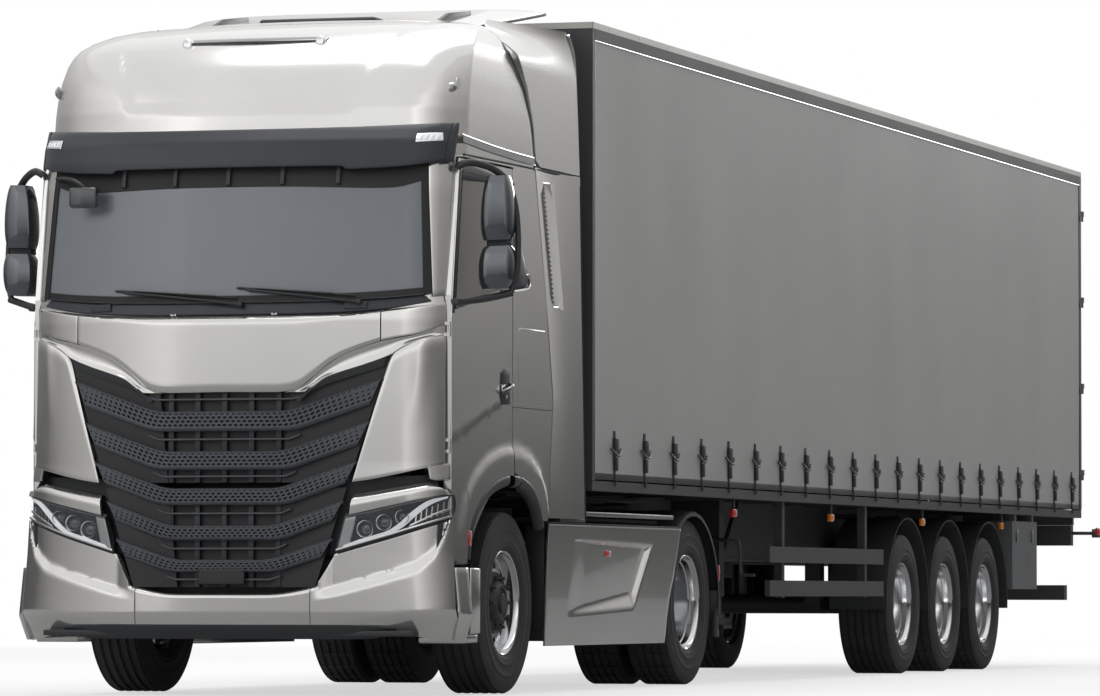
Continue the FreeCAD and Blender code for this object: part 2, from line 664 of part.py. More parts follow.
def cab_shell():
    doorway = prism("cab_door_cut", "x", ("cab_half - cab_wall - 15", "cab_half + 30"),
                    door_outline("-cab_gap"))
    pane = front_view("cab_windscreen_cut", across([
        ("1120", "cab_belt + 40"), ("1090", "cab_eaves - 70")]))
    deflector = deflector_low("deflector_recess", "fit")
    flank = prism("cab_flank", "x", ("cab_half - cab_wall", "cab_half"), [
        (DOOR_EDGE, "cab_floor + 20"), (DOOR_EDGE, on_arch("arch_radius + trim_wide + fit", ARCH_FRONT)[1]),
        on_arch("arch_radius + trim_wide + fit", ARCH_BACK) + on_arch("arch_radius + trim_wide + fit", 66),
        ("560", "1022"), ("640", "1022"), ("640", "cab_floor + 20")])
    walls = cut("cab_walls", cab_outer(), cab_hull("cab_room", "cab_wall", "cab_floor + cab_wall", "cab_eaves + 1"),
                doorway, mirrored(doorway), pane)
    pieces = [walls] + both(flank)
    for level in HINGE_LEVELS:
        for piece in door_hinge_cheeks(level):
            pieces += both(piece)
    for side in (-1, 1):
        pieces += hood_hinge_cheeks(side)
    for side, name in ((1, "left"), (-1, "right")):
        ear = prism("cab_ear_" + name, "x", ("frame_half - 45", "frame_half - 25"), [
            ("-tilt_ahead - 28", "tilt_high - 28"), ("-tilt_ahead + 28", "tilt_high - 28"),
            ("-tilt_ahead + 150", "tilt_high + 110"), ("-tilt_ahead + 150", "cab_floor + 5"),
            ("-tilt_ahead + 75", "cab_floor + 5"), ("-tilt_ahead + 75", "tilt_high + 90"),
            ("-tilt_ahead - 28", "tilt_high + 28")])
        bore = rod("cab_ear_bore_" + name, "x", "tilt_pin + fit", ("frame_half - 50", "frame_half - 20"),
                   ("-tilt_ahead", "tilt_high"))
        made = cut("cab_pivot_" + name, ear, bore)
        pieces.append(mirrored(made) if side < 0 else made)
    body = cut("cab_shell_body", joined("cab_raw", *pieces), deflector, mirrored(deflector))
    return node("cab_shell", [body], y=TRACTOR)


def roof_form(name, inset, foot, head):
    """The high roof's outer form, or a smaller one inside it."""
    sections = (
        # height, nose behind the bumper, half width
        (foot, "-front_overhang + 260", "cab_half - 5"),
        ("cab_eaves + 300", "-front_overhang + 310", "cab_half - 12"),
        ("roof_top - 230", "-front_overhang + 480", "cab_half - 75"),
        (head, "-front_overhang + 1050", "cab_half - 190"),
    )
    made = []
    for index, (level, nose, wide) in enumerate(sections):
        made.append(cab_plan("%s_%d" % (name, index), level, nose + " + " + inset,
                             "%s - (%s)" % (wide, inset), "cab_back - (%s)" % inset))
    return loft(name, made)


def cab_roof():
    inner = roof_form("roof_inner", "45", "cab_eaves - 5", "roof_top - 45")
    outer = roof_form("roof_outer", "0", "cab_eaves + fit", "roof_top")
    return node("cab_roof", [cut("roof_shell", outer, inner)], y=TRACTOR)


def windscreen():
    glass = loft("screen_glass", [
        cab_plan("screen_belt", "cab_belt", FRONT_WALL + " - 9", "cab_half", "-1000"),
        cab_plan("screen_eaves", "cab_eaves", EAVES_WALL + " - 9", "cab_half", "-800")])
    view = front_view("screen_view", across([("1165", "cab_belt + 5"), ("1130", "cab_eaves - 35")]))
    return node("windscreen", [cut("screen", shared("screen_pane", glass, view), cab_clear())], y=TRACTOR)


def sun_visor():
    sections = (
        # height, nose behind the bumper
        ("2945", "-front_overhang + 195"),
        ("3175", "-front_overhang + 212"),
    )
    blades = []
    for part, inset in (("front", 0), ("back", 14)):
        plans = [cab_plan("visor_%s_%d" % (part, index), level, "%s + %d" % (nose, inset), "cab_half - 10", "-500")
                 for index, (level, nose) in enumerate(sections)]
        blades.append(loft("visor_" + part, plans))
    view = front_view("visor_view", across([("1190", "2945"), ("1210", "3175")]))
    blade = shared("visor_blade", cut("visor_skin", *blades), view)
    stay = block("visor_stay", ("480", "520"), ("-1262", "-1150"), ("3060", "3100"))
    clear = roof_form("roof_clear", "-fit", "cab_eaves + fit", "roof_top")
    body = cut("visor", joined("visor_raw", blade, stay, mirrored(stay)), clear)
    return node("sun_visor", [body], y=TRACTOR)


CORNER_HEAD = "cab_belt - 35"


def corner_panels():
    skin = band("corner_skin", [("1185", "-front_overhang + 30", "cab_half + 5"),
                                (CORNER_HEAD, "-front_overhang + 38", "cab_half")], "45")
    view = front_view("corner_view", [
        (grille_edge(1195) + " + 4", "1195"), ("1204", "1290"), ("1400", "1290"),
        ("1400", CORNER_HEAD), ("905 + cab_gap", CORNER_HEAD), ("905 + cab_gap", "1935"),
        (grille_edge(1935) + " + 4", "1935")])
    link = block("corner_link", ("1000", "1120"), ("-1360", "-1260"), ("1500", "1600"))
    body = cut("corner_piece", joined("corner_raw", shared("corner_front", skin, view), link),
               door_way("corner_door_way"), cab_clear())
    return node("corner_panels", both(body), y=TRACTOR)


def upper_grille():
    bars = ((1365, 78), (1588, 84))
    body = grille("upper_mesh", 1190, GRILLE_HEAD, bars, "-front_overhang + 14")
    link = block("grille_link", ("-300", "300"), ("-1440", "-1360"), ("1500", "1560"))
    return node("upper_grille", [cut("upper_grille_body", joined("upper_grille_raw", body, link), cab_clear())],
                y=TRACTOR)


def cowl():
    skin = band("cowl_skin", [("2150", "-front_overhang + 40", "cab_half - 5"),
                              ("2230", "-front_overhang + 52", "cab_half - 8")], "75")
    view = front_view("cowl_view", across([("1190", "2150"), ("1190", "cab_belt - 1")]))
    return node("cowl", [cut("cowl_panel", shared("cowl_full", skin, view), cab_clear())], y=TRACTOR)


HOOD_LUG = 300


def hood_hinge_cheeks(side):
    """The cab's half of a flap hinge: two arms from the front wall and their pin."""
    middle = side * HOOD_LUG
    pieces = [rod("hood_pin_%d" % (side + 1), "x", "4", (str(middle - 16), str(middle + 16)),
                  ("-hood_axis", "hood_hinge"))]
    for low in (middle - 16, middle + 9):
        pieces.append(block("hood_cheek_%d" % (low + 400), (str(low), str(low + 7)),
                            ("-hood_axis - 4", FRONT_WALL + " + 20"), ("hood_hinge - 4", "hood_hinge + 8")))
    return pieces


def hood():
    skin = band("hood_skin", [("1650", "-front_overhang + 6", "cab_half - 4"),
                              ("2150", "-front_overhang + 22", "cab_half - 8")], "22")
    view = front_view("hood_view", across([
        ("430", "1690"), ("640", "1880"), ("905", "1975"), ("905", "2128")]))
    body = shared("hood_panel", skin, view)
    notches = []
    lugs = []
    for side in (-1, 1):
        low, high = side * HOOD_LUG - 6, side * HOOD_LUG + 6
        notches.append(block("hood_notch_%d" % (side + 1), (str(low - 16), str(high + 16)),
                             ("-1500", "-1400"), ("2104", "2150")))
        arm = block("hood_arm_%d" % (side + 1), (str(low), str(high)), ("-hood_axis - 4", "-hood_axis + 8"),
                    ("2096", "hood_hinge"))
        eye = rod("hood_eye_%d" % (side + 1), "x", "9", (str(low), str(high)), ("-hood_axis", "hood_hinge"))
        bore = rod("hood_bore_%d" % (side + 1), "x", "4 + fit", (str(low - 1), str(high + 1)),
                   ("-hood_axis", "hood_hinge"))
        lugs.append(cut("hood_lug_%d" % (side + 1), joined("hood_lug_raw_%d" % (side + 1), arm, eye), bore))
    return node("hood", [joined("hood_body", cut("hood_notched", body, *notches), *lugs)], y=TRACTOR)


def door_outline(grow):
    """Side view of the cab door: (y, z), grown outwards by a clearance."""
    front = "-door_front + (%s)" % grow
    back = "-door_back - (%s)" % grow
    low = "door_low + (%s)" % grow
    reach = "(arch_radius + trim_wide - (%s))" % grow
    return [
        (front, low),
        ("-925 - (%s)" % grow, low),
        (back, "arch_rise + %s" % reach, "-arch_ahead - 0.78 * " + reach, "arch_rise + 0.626 * " + reach),
        (back, "cab_eaves - 25 - (%s)" % grow),
        ("-1035 + (%s)" % grow, "cab_eaves - 25 - (%s)" % grow),
        (front, "cab_belt + 60"),
    ]


def door_and_glass(side, name):
    slab = prism("door_slab_" + name, "x", ("cab_half - cab_wall", "cab_half"), door_outline("0"))
    window = prism("door_window_" + name, "x", ("cab_half - cab_wall - 5", "cab_half + 5"), [
        ("-1120", "2170"), ("-160", "2320"), ("-160", "2800"), ("-220", "2930"), ("-995", "2945")])
    slot = prism("door_slot_" + name, "x", ("cab_half - 24", "cab_half - 16"), [
        ("-1135", "2155"), ("-145", "2305"), ("-145", "2812"), ("-215", "2945"), ("-1003", "2960")])
    pane = prism("door_pane_" + name, "x", ("cab_half - 24 + fit", "cab_half - 16 - fit"), [
        ("-1132", "2158"), ("-148", "2308"), ("-148", "2810"), ("-217", "2942"), ("-1001", "2957")])
    handle = block("door_handle_" + name, ("cab_half", "cab_half + 18"), ("-300", "-170"), ("1735", "1770"))
    lugs = []
    for level in HINGE_LEVELS:
        spot = (DOOR_AXIS, "-door_front - 8")
        span = (str(level - 21), str(level + 21))
        eye = rod("door_eye_%s_%d" % (name, level), "z", "8", span, spot)
        neck = block("door_neck_%s_%d" % (name, level), (DOOR_AXIS + " - 8", DOOR_AXIS),
                     ("-door_front - 8", "-door_front + 2"), span)
        bore = rod("door_bore_%s_%d" % (name, level), "z", "door_pin + fit", span, spot)
        lugs.append(cut("door_lug_%s_%d" % (name, level), joined("door_lug_raw_%s_%d" % (name, level), eye, neck), bore))
    body = cut("door_body_" + name, slab, window, slot)
    pieces = (joined("door_leaf_" + name, body, handle, *lugs), pane)
    if side < 0:
        pieces = tuple(mirrored(piece) for piece in pieces)
    node("door_" + name, [pieces[0]], y=TRACTOR)
    node("door_glass_" + name, [pieces[1]], y=TRACTOR)


def mirror(side, name):
    case = loft("mirror_case_" + name, [
        outline("mirror_front_" + name, "y", "-990", [("cab_half + 100", "2300"), ("cab_half + 285", "2285"),
                                                     ("cab_half + 265", "2890"), ("cab_half + 115", "2880")]),
        outline("mirror_back_" + name, "y", "-830", [("cab_half + 85", "2270"), ("cab_half + 315", "2260"),
                                                    ("cab_half + 300", "2910"), ("cab_half + 100", "2900")])])
    low_arm = prism("mirror_low_arm_" + name, "y", ("-1100", "-880"), [
        ("cab_half", "2185"), ("cab_half + 55", "2190"), ("cab_half + 300", "2235"),
        ("cab_half + 300", "2275"), ("cab_half + 55", "2240"), ("cab_half", "2250")])
    high_arm = prism("mirror_high_arm_" + name, "y", ("-1010", "-900"), [
        ("cab_half", "2975"), ("cab_half + 300", "2895"), ("cab_half + 300", "2925"), ("cab_half", "3010")])
    body = joined("mirror_body_" + name, case, low_arm, high_arm)
    node("mirror_" + name, [mirrored(body) if side < 0 else body], y=TRACTOR)


def cab_inside():
    seats = []
    for side, name in ((1, "left"), (-1, "right")):
        base = block("seat_base_" + name, ("380", "820"), ("-620", "-180"), ("cab_floor + cab_wall", "1700"))
        cushion = block("seat_cushion_" + name, ("350", "850"), ("-700", "-150"), ("1700", "1830"))
        back = prism("seat_back_" + name, "x", ("360", "840"), [
            ("-180", "1820"), ("-60", "1820"), ("80", "2480"), ("-30", "2500")])
        head = block("seat_head_" + name, ("460", "740"), ("-30", "90"), ("2440", "2680"))
        made = joined("seat_" + name, base, cushion, back, head)
        seats.append(mirrored(made) if side < 0 else made)
    node("seats", seats, y=TRACTOR)
    bunk = block("bunk_bed", ("-1150", "1150"), ("180", "cab_back - cab_wall"), ("cab_floor + cab_wall", "1950"))
    node("bunk", [bunk], y=TRACTOR)
    desk = prism("dash_desk", "x", ("-1160", "1160"), [
        ("-1400", "1700"), ("-1000", "1740"), ("-940", "1980"), ("-1030", "2120"), ("-1400", "2120")])
    leg = block("dash_leg", ("-1000", "1000"), ("-1400", "-1190"), ("cab_floor + cab_wall", "1710"))
    fitted = shared("dash_fitted", joined("dash_raw", desk, leg),
                    cab_hull("dash_room", "cab_wall + fit", "cab_floor + cab_wall", "cab_eaves - 100"))
    column = block("steering_column", ("560", "620"), ("-1000", "-880"), ("1940", "2000"))
    wheel = rod("steering_wheel", "y", "225", ("-885", "-850"), ("590", "1990"))
    hole = rod("steering_wheel_hole", "y", "200", ("-900", "-840"), ("590", "1990"))
    boss = rod("steering_boss", "y", "60", ("-890", "-855"), ("590", "1990"))
    spoke = block("steering_spokes", ("380", "800"), ("-880", "-862"), ("1970", "2005"))
    ring = cut("steering_rim", wheel, hole)
    node("dashboard", [joined("dashboard_body", fitted, column, ring, boss, spoke)], y=TRACTOR)


def wheel_arches():
    """Dark lips of the wheel arch that stay with the cab behind the doors, and the liner."""
    sweep = "arch_radius + trim_wide"
    lip = prism("arch_lip", "x", ("cab_half - 60", "cab_half + 10"), [
        (DOOR_EDGE, on_arch("arch_radius - 10", ARCH_FRONT)[1]),
        on_arch("arch_radius - 10", ARCH_BACK) + on_arch("arch_radius - 10", 65),
        on_arch(sweep, ARCH_BACK),
        (DOOR_EDGE, on_arch(sweep, ARCH_FRONT)[1]) + on_arch(sweep, 66)])
    liner = guard_arc("arch_liner", "arch_radius", "10", "-arch_ahead + 70", "arch_rise",
                      ("cab_half - 400", "cab_half - 60"), "arch_rise + 380")
    bridge = block("arch_bridge", ("cab_half - 90", "cab_half - 40"), ("120", "180"), ("1195", "1245"))
    body = cut("arch", joined("arch_raw", lip, liner, bridge), block(
        "arch_floor_line", ("0", "1400"), ("-1200", "900"), ("cab_floor - fit", "1500")))
    return node("wheel_arches", both(body), y=TRACTOR)


DEFLECTOR_WALL = 30


def deflector_low(name, grow):
    """Panel that covers the cab's rear edge and reaches back from it."""
    return prism(name, "x", ("cab_half - %d - (%s)" % (DEFLECTOR_WALL, grow), "cab_half"), [
        ("560 - (%s)" % grow, "1010 - 5 * (%s)" % grow), ("1330", "1110 - 5 * (%s)" % grow),
        ("1240", "cab_eaves - fit + (%s)" % grow),
        ("360 - (%s)" % grow, "cab_eaves - fit + (%s)" % grow), ("700 - (%s)" % grow, "1720")])


def deflector_high():
    sections = (
        # height, outer face, rear edge
        ("cab_eaves + fit", "cab_half - 5", "1235"),
        ("cab_eaves + 300", "cab_half - 12", "1225"),
        ("roof_top - 230", "cab_half - 75", "1190"),
        ("roof_top", "cab_half - 190", "1100"),
    )
    made = []
    for index, (level, outer, rear) in enumerate(sections):
        inner = "%s - %d" % (outer, DEFLECTOR_WALL)
        made.append(outline("deflector_high_%d" % index, "z", level, [
            (inner, "cab_back + fit"), (outer, "cab_back + fit"), (outer, rear), (inner, rear)]))
    return loft("deflector_high", made)


def side_deflectors():
    return node("side_deflectors", both(deflector_low("deflector_panel", "0")) + both(deflector_high()), y=TRACTOR)


def roof_deflector():
    blade = prism("deflector_top", "x", ("-1000", "1000"), [
        ("-20", "roof_top + fit"), ("840", "roof_top + 130"), ("860", "roof_top + 165"),
        ("800", "roof_top + 165"), ("-60", "roof_top + 30"), ("-60", "roof_top + fit")])
    fin = prism("deflector_fin", "x", ("800", "815"), [
        ("-30", "roof_top + fit"), ("820", "roof_top + fit"), ("820", "roof_top + 140"), ("-30", "roof_top + 20")])
    return node("roof_deflector", [joined("roof_deflector_body", blade, fin, mirrored(fin))], y=TRACTOR)


# Wheels -----------------------------------------------------------------------------

def tyre(name, shift, wide, radius):
    half = "(%s) / 2" % wide
    profile = (
        # share of the half width, radius
        (-0.80, "rim_radius"), (-0.80, "rim_radius + 18"), (-1.0, "rim_radius + 80"),
        (-1.0, "(%s) - 65" % radius), (-0.84, radius), (0.84, radius), (1.0, "(%s) - 65" % radius),
        (1.0, "rim_radius + 80"), (0.80, "rim_radius + 18"), (0.80, "rim_radius"),
    )
    corners = [("%s + %s * %s" % (shift, share, half), reach) for share, reach in profile]
    return spun(name, corners)


def rim(name, low, high, disc, hub, bore):
    """Barrel whose flanges close on bead faces low and high, disc and hub as (low, high)
    along the axle, and a blind bore from inside."""
    barrel = spun(name + "_barrel", [
        (hub[0], bore), ("(%s) - 35" % hub[1], bore), ("(%s) - 35" % hub[1], "0"), (hub[1], "0"),
        (hub[1], "hub_radius - 20"), ("(%s) - 30" % hub[1], "hub_radius"), (disc[1], "hub_radius"),
        (disc[1], "rim_radius - fit - rim_wall"), (high, "rim_radius - fit - rim_wall"),
        ("(%s) + 7 + fit" % high, "rim_radius + 12"), ("(%s) + fit" % high, "rim_radius + 12"),
        ("(%s) + fit" % high, "rim_radius - fit"),
        ("(%s) - fit" % low, "rim_radius - fit"), ("(%s) - fit" % low, "rim_radius + 12"),
        ("(%s) - 7 - fit" % low, "rim_radius + 12"), (low, "rim_radius - fit - rim_wall"),
        (disc[0], "rim_radius - fit - rim_wall"), (disc[0], "hub_radius"), (hub[0], "hub_radius")])
    holes = []
    for index in range(10):
        turn = FreeCAD.Rotation(FreeCAD.Vector(1, 0, 0), 36 * index)
        spot = turn.multVec(FreeCAD.Vector(0, 0, 212))
        holes.append(rod("%s_hole_%d" % (name, index), "x", "27", ("(%s) - 5" % disc[0], "(%s) + 5" % disc[1]),
                         (str(round(spot.y, 3)), str(round(spot.z, 3)))))
    return cut(name, barrel, *holes)


def wheel(label, x, y, radius, pieces, side):
    made = [mirrored(piece) for piece in pieces] if side < 0 else pieces
    node(label, made, x=("-(%s)" % x) if side < 0 else x, y=y, z=radius)


def wheels():
    for side, name in ((1, "left"), (-1, "right")):
        steer = [
            tyre("front_tyre_" + name, "0", "steer_wide", "steer_radius"),
            rim("front_rim_" + name, "-0.4 * steer_wide", "0.4 * steer_wide", ("52", "66"),
                ("-40", "118"), "steer_spindle + fit")]
        wheel("front_wheel_" + name, "steer_track", TRACTOR, "steer_radius", steer, side)
        drive = [
            tyre("outer_tyre_" + name, "twin_half", "drive_wide", "drive_radius"),
            tyre("inner_tyre_" + name, "-twin_half", "drive_wide", "drive_radius"),
            rim("drive_rim_" + name, "-twin_half - 0.4 * drive_wide", "twin_half + 0.4 * drive_wide",
                ("-10", "10"), ("-90", "100"), "spindle + fit")]
        wheel("drive_wheels_" + name, "drive_track", TRACTOR + " + wheelbase", "drive_radius", drive, side)
        for index in (1, 2, 3):
            mark = "%s_%d" % (name, index)
            trailing = [
                tyre("trailer_tyre_" + mark, "0", "trailing_wide", "trailing_radius"),
                rim("trailer_rim_" + mark, "-0.4 * trailing_wide", "0.4 * trailing_wide",
                    ("-8", "8"), ("-120", "90"), "spindle + fit")]
            y = TRAILER + " + bogie + (%d) * axle_pitch" % (index - 2)
            wheel("trailer_wheel_" + mark, "trailing_track", y, "trailing_radius", trailing, side)


def knuckle(side, name):
    pin = rod("swivel_pin_" + name, "z", "steer_pin_radius", ("-110", "100"), ("0", "0"))
    top = block("knuckle_top_" + name, ("-45", "85"), ("-45", "45"), ("75", "110"))
    foot = block("knuckle_foot_" + name, ("-45", "85"), ("-45", "45"), ("-120", "-85"))
    web = block("knuckle_web_" + name, ("62", "90"), ("-65", "65"), ("-120", "110"))
    axle = rod("knuckle_axle_" + name, "x", "steer_spindle", ("85", "steer_track - steer_pin + 75"), ("0", "0"))
    lever = block("knuckle_lever_" + name, ("-40", "10"), ("30", "220"), ("-120", "-92"))
    body = joined("knuckle_body_" + name, pin, top, foot, web, axle, lever)
    piece = mirrored(body) if side < 0 else body
    node("knuckle_" + name, [piece], x=("-steer_pin" if side < 0 else "steer_pin"), y=TRACTOR, z="steer_radius")


# Trailer ------------------------------------------------------------------------------

BEAM_TOP = "load_floor - 28"
REAR_END = "trailer_length - door_thick"


def main_beam(name):
    """A stepped I-beam, drawn from the side: web and two flanges."""
    neck = "coupling + 8"
    step_low, step_high = "neck_length", "neck_length + 500"
    web = prism(name + "_web", "x", ("beam_out - 6", "beam_out + 6"), [
        ("45", neck), (step_low, neck), (step_high, "beam_low"), (REAR_END + " - 60", "beam_low"),
        (REAR_END + " - 60", BEAM_TOP), ("45", BEAM_TOP)])
    top = block(name + "_top", ("beam_out - beam_wide / 2", "beam_out + beam_wide / 2"),
                ("45", REAR_END + " - 60"), (BEAM_TOP + " - 12", BEAM_TOP))
    foot = prism(name + "_foot", "x", ("beam_out - beam_wide / 2", "beam_out + beam_wide / 2"), [
        ("45", neck), (step_low, neck), (step_high, "beam_low"), (REAR_END + " - 60", "beam_low"),
        (REAR_END + " - 60", "beam_low + 14"), (step_high + " + 5", "beam_low + 14"),
        (step_low + " + 5", neck + " + 14"), ("45", neck + " + 14")])
    return joined(name, web, top, foot)


def trailer_frame():
    beam = main_beam("main_beam")
    pieces = both(beam)
    plate = block("coupling_skid", ("-600", "600"), ("300", "kingpin_setback + 900"), ("coupling", "coupling + 10"))
    kingpin = rod("kingpin", "z", "kingpin_radius", ("coupling - 85", "coupling + 5"), ("0", "kingpin_setback"))
    pieces += [plate, kingpin]
    pieces += both(block("side_rail", ("trailer_half - 60", "trailer_half"), ("0", REAR_END),
                         ("rail_low", "load_floor - 2")))
    members = 16
    for index in range(members):
        y = "45 + (%s - 160) * %d / %d" % (REAR_END, index, members - 1)
        pieces.append(block("cross_member_%d" % index, ("-trailer_half + 30", "trailer_half - 30"),
                            (y, y + " + 50"), ("rail_low", BEAM_TOP)))
    return node("trailer_frame", [joined("trailer_chassis", *pieces)], y=TRAILER)


POST_LINE = "trailer_half - 132"
EDGE_TOP = "load_floor - 3"


def load_floor():
    """The deck, a step lower along both edges where the side posts stand."""
    planks = block("deck", ("-trailer_half + 62", "trailer_half - 62"), ("42", REAR_END + " - 62"),
                   (BEAM_TOP, "load_floor"))
    edge = block("deck_edge", (POST_LINE, "trailer_half"), ("0", REAR_END),
                 (EDGE_TOP, "load_floor + 5"))
    return node("load_floor", [cut("deck_planks", planks, edge, mirrored(edge))], y=TRAILER)


def headboard():
    wall = block("front_wall", ("-trailer_half", "trailer_half"), ("0", "40"), ("load_floor - 1", "trailer_top - 105"))
    post = block("front_post", ("trailer_half - 70", "trailer_half - 22"), ("38", "100"),
                 ("load_floor", "roof_rail"))
    return node("headboard", [joined("headboard_body", wall, post, mirrored(post))], y=TRAILER)


def rear_frame():
    span = (REAR_END + " - 60", REAR_END + " - door_gap")
    post = block("rear_post", ("trailer_half - 70", "trailer_half"), span, ("load_floor - 2", "roof_rail"))
    sill = block("rear_sill", ("-trailer_half + 62", "trailer_half - 62"), span, ("load_floor - 120", "load_floor"))
    blades = []
    for level in GATE_LEVELS:
        blades += gate_blade(level)
    portal = [post, sill] + blades
    portal += [mirrored(piece) for piece in [post] + blades]
    return node("rear_frame", [joined("rear_portal", *portal)], y=TRAILER)


ROOF_END = REAR_END + " - door_gap"


def trailer_roof():
    rail_piece = block("roof_rail_bar", ("trailer_half - 75", "trailer_half"), ("0", ROOF_END),
                       ("roof_rail", "trailer_top"))
    sheet_piece = block("roof_sheet", ("-trailer_half + 70", "trailer_half - 70"), ("0", ROOF_END),
                        ("trailer_top - 12", "trailer_top - 4"))
    front = block("roof_front", ("-trailer_half + 70", "trailer_half - 70"), ("0", "60"), ("roof_rail", "trailer_top - 5"))
    rear = block("roof_rear", ("-trailer_half + 70", "trailer_half - 70"), (REAR_END + " - 62", ROOF_END),
                 ("roof_rail", "trailer_top - 5"))
    pieces = [rail_piece, mirrored(rail_piece), sheet_piece, front, rear]
    bows = 9
    for index in range(bows):
        y = "(%s) * %d / %d" % (REAR_END, index + 1, bows + 1)
        pieces.append(block("roof_bow_%d" % index, ("-trailer_half + 70", "trailer_half - 70"), (y, y + " + 40"),
                            ("trailer_top - 50", "trailer_top - 8")))
    return node("trailer_roof", [joined("roof_body", *pieces)], y=TRAILER)


def side_posts():
    pieces = []
    for index in range(3):
        y = "(%s) * %d / 4" % (REAR_END, index + 1)
        post = block("side_post_%d" % index, ("trailer_half - 130", "trailer_half - 65"), (y, y + " + 90"),
                     (EDGE_TOP + " + fit", "roof_rail - fit"))
        pieces += both(post)
    return node("side_posts", pieces, y=TRAILER)


def side_curtains():
    cloth = block("curtain", ("trailer_half - 14", "trailer_half - 8"), ("44", REAR_END + " - 64"),
                  ("curtain_low - 7 + fit", "roof_rail - fit"))
    return node("side_curtains", both(cloth), y=TRAILER)


def landing_legs():
    leg = block("leg_tube", ("870", "990"), ("leg_setback - 60", "leg_setback + 60"), ("560", "rail_low"))
    inner = block("leg_inner", ("885", "975"), ("leg_setback - 45", "leg_setback + 45"), ("370", "570"))
    foot = block("leg_foot", ("830", "1030"), ("leg_setback - 110", "leg_setback + 110"), ("350", "375"))
    brace = prism("leg_brace", "x", ("915", "945"), [
        ("leg_setback + 50", "700"), ("leg_setback + 50", "640"), ("leg_setback + 640", "rail_low"),
        ("leg_setback + 580", "rail_low")])
    tie = block("leg_tie", ("-900", "900"), ("leg_setback - 25", "leg_setback + 25"), ("700", "750"))
    wing = block("leg_bracket", ("beam_out + 6", "880"), ("leg_setback - 60", "leg_setback + 60"),
                 ("beam_low + 120", "rail_low"))
    side = [leg, inner, foot, brace, wing]
    pieces = side + [mirrored(piece) for piece in side] + [tie]
    return node("landing_legs", [joined("legs", *pieces)], y=TRAILER)


def trailer_axles():
    made = []
    for index in (1, 2, 3):
        y = "bogie + (%d) * axle_pitch" % (index - 2)
        tube = rod("axle_tube_%d" % index, "x", "70", ("-760", "760"), (y, "trailing_radius"))
        stub = rod("axle_stub_%d" % index, "x", "spindle", ("-trailing_track - 45", "trailing_track + 45"),
                   (y, "trailing_radius"))
        pieces = [tube, stub]
        for side, name in ((1, "left"), (-1, "right")):
            mark = "%s_%d" % (name, index)
            hanger = block("hanger_" + mark, ("beam_out - 55", "beam_out + 55"), (y + " - 560", y + " - 430"),
                           ("trailing_radius - 10", "beam_low"))
            arm = block("trailing_arm_" + mark, ("beam_out - 50", "beam_out + 50"), (y + " - 500", y + " + 430"),
                        ("trailing_radius - 40", "trailing_radius + 30"))
            bag = rod("air_bag_" + mark, "z", "115", ("trailing_radius + 20", "beam_low"), ("beam_out", y + " + 330"))
            for piece in (hanger, arm, bag):
                pieces.append(mirrored(piece) if side < 0 else piece)
        made.append(joined("bogie_axle_%d" % index, *pieces))
    return node("trailer_axles", made, y=TRAILER)


def trailer_mudguards():
    pieces = []
    for index in (1, 2, 3):
        y = "bogie + (%d) * axle_pitch" % (index - 2)
        guard = guard_arc("trailer_guard_%d" % index, "trailing_radius + 118", "10", y, "trailing_radius",
                          ("trailing_track - 210", "trailing_track + 215"), "trailing_radius - 35")
        stay = block("trailer_guard_stay_%d" % index, ("beam_out + 6", "trailing_track - 160"),
                     (y + " - 20", y + " + 20"), ("trailing_radius + 612", "trailing_radius + 650"))
        pieces += both(joined("trailer_guard_body_%d" % index, guard, stay))
    return node("trailer_mudguards", pieces, y=TRAILER)


GUARD_FRONT = "trailer_gap - 1420 + 4100"
GUARD_REAR = "bogie - axle_pitch - 830"


def side_guards():
    pieces = [
        block("guard_plank_high", ("trailer_half - 60", "trailer_half - 25"), (GUARD_FRONT, GUARD_REAR), ("786", "892")),
        block("guard_plank_low", ("trailer_half - 60", "trailer_half - 25"), (GUARD_FRONT, GUARD_REAR), ("561", "667"))]
    for index, y in enumerate((GUARD_FRONT + " + 420", GUARD_REAR + " - 420")):
        pieces.append(block("guard_post_%d" % index, ("trailer_half - 110", "trailer_half - 55"), (y, y + " + 60"),
                            ("550", "rail_low")))
    return node("side_guards", both(joined("guard", *pieces)), y=TRAILER)


def tool_box():
    y = "bogie + axle_pitch + 670"
    box = block("tool_box_body", ("trailer_half - 480", "trailer_half - 25"), (y, y + " + 850"), ("616", "1142"))
    stay = block("tool_box_stay", ("trailer_half - 440", "trailer_half - 30"), (y + " + 100", y + " + 160"),
                 ("1140", "rail_low"))
    rear = block("tool_box_stay_rear", ("trailer_half - 440", "trailer_half - 30"), (y + " + 690", y + " + 750"),
                 ("1140", "rail_low"))
    return node("tool_box", [joined("tool_box_all", box, stay, rear)], y=TRAILER)


def rear_bumper():
    bar = block("underrun_bar", ("-1190", "1190"), (REAR_END + " - 260", REAR_END + " - 160"), ("530", "650"))
    arm = block("underrun_arm", ("beam_out - 40", "beam_out + 40"), (REAR_END + " - 240", REAR_END + " - 180"),
                ("640", "beam_low"))
    panel = block("lamp_board", ("-1200", "1200"), (REAR_END + " - 60", REAR_END + " + 30"),
                  ("970", "load_floor - 121"))
    stalk = rod("lamp_stalk", "x", "14", ("1190", "1380"), (REAR_END + " - 20", "1070"))
    lamp = rod("stalk_lamp", "x", "36", ("1370", "1430"), (REAR_END + " - 20", "1070"))
    low = joined("underrun", bar, arm, mirrored(arm))
    high = joined("lamp_board_body", panel, stalk, mirrored(stalk), lamp, mirrored(lamp))
    return node("rear_bumper", [low, high], y=TRAILER)


GATE_LEVELS = (1500, 2200, 2900, 3600)
GATE_SPOT = ("gate_axis", "trailer_length + gate_setback")


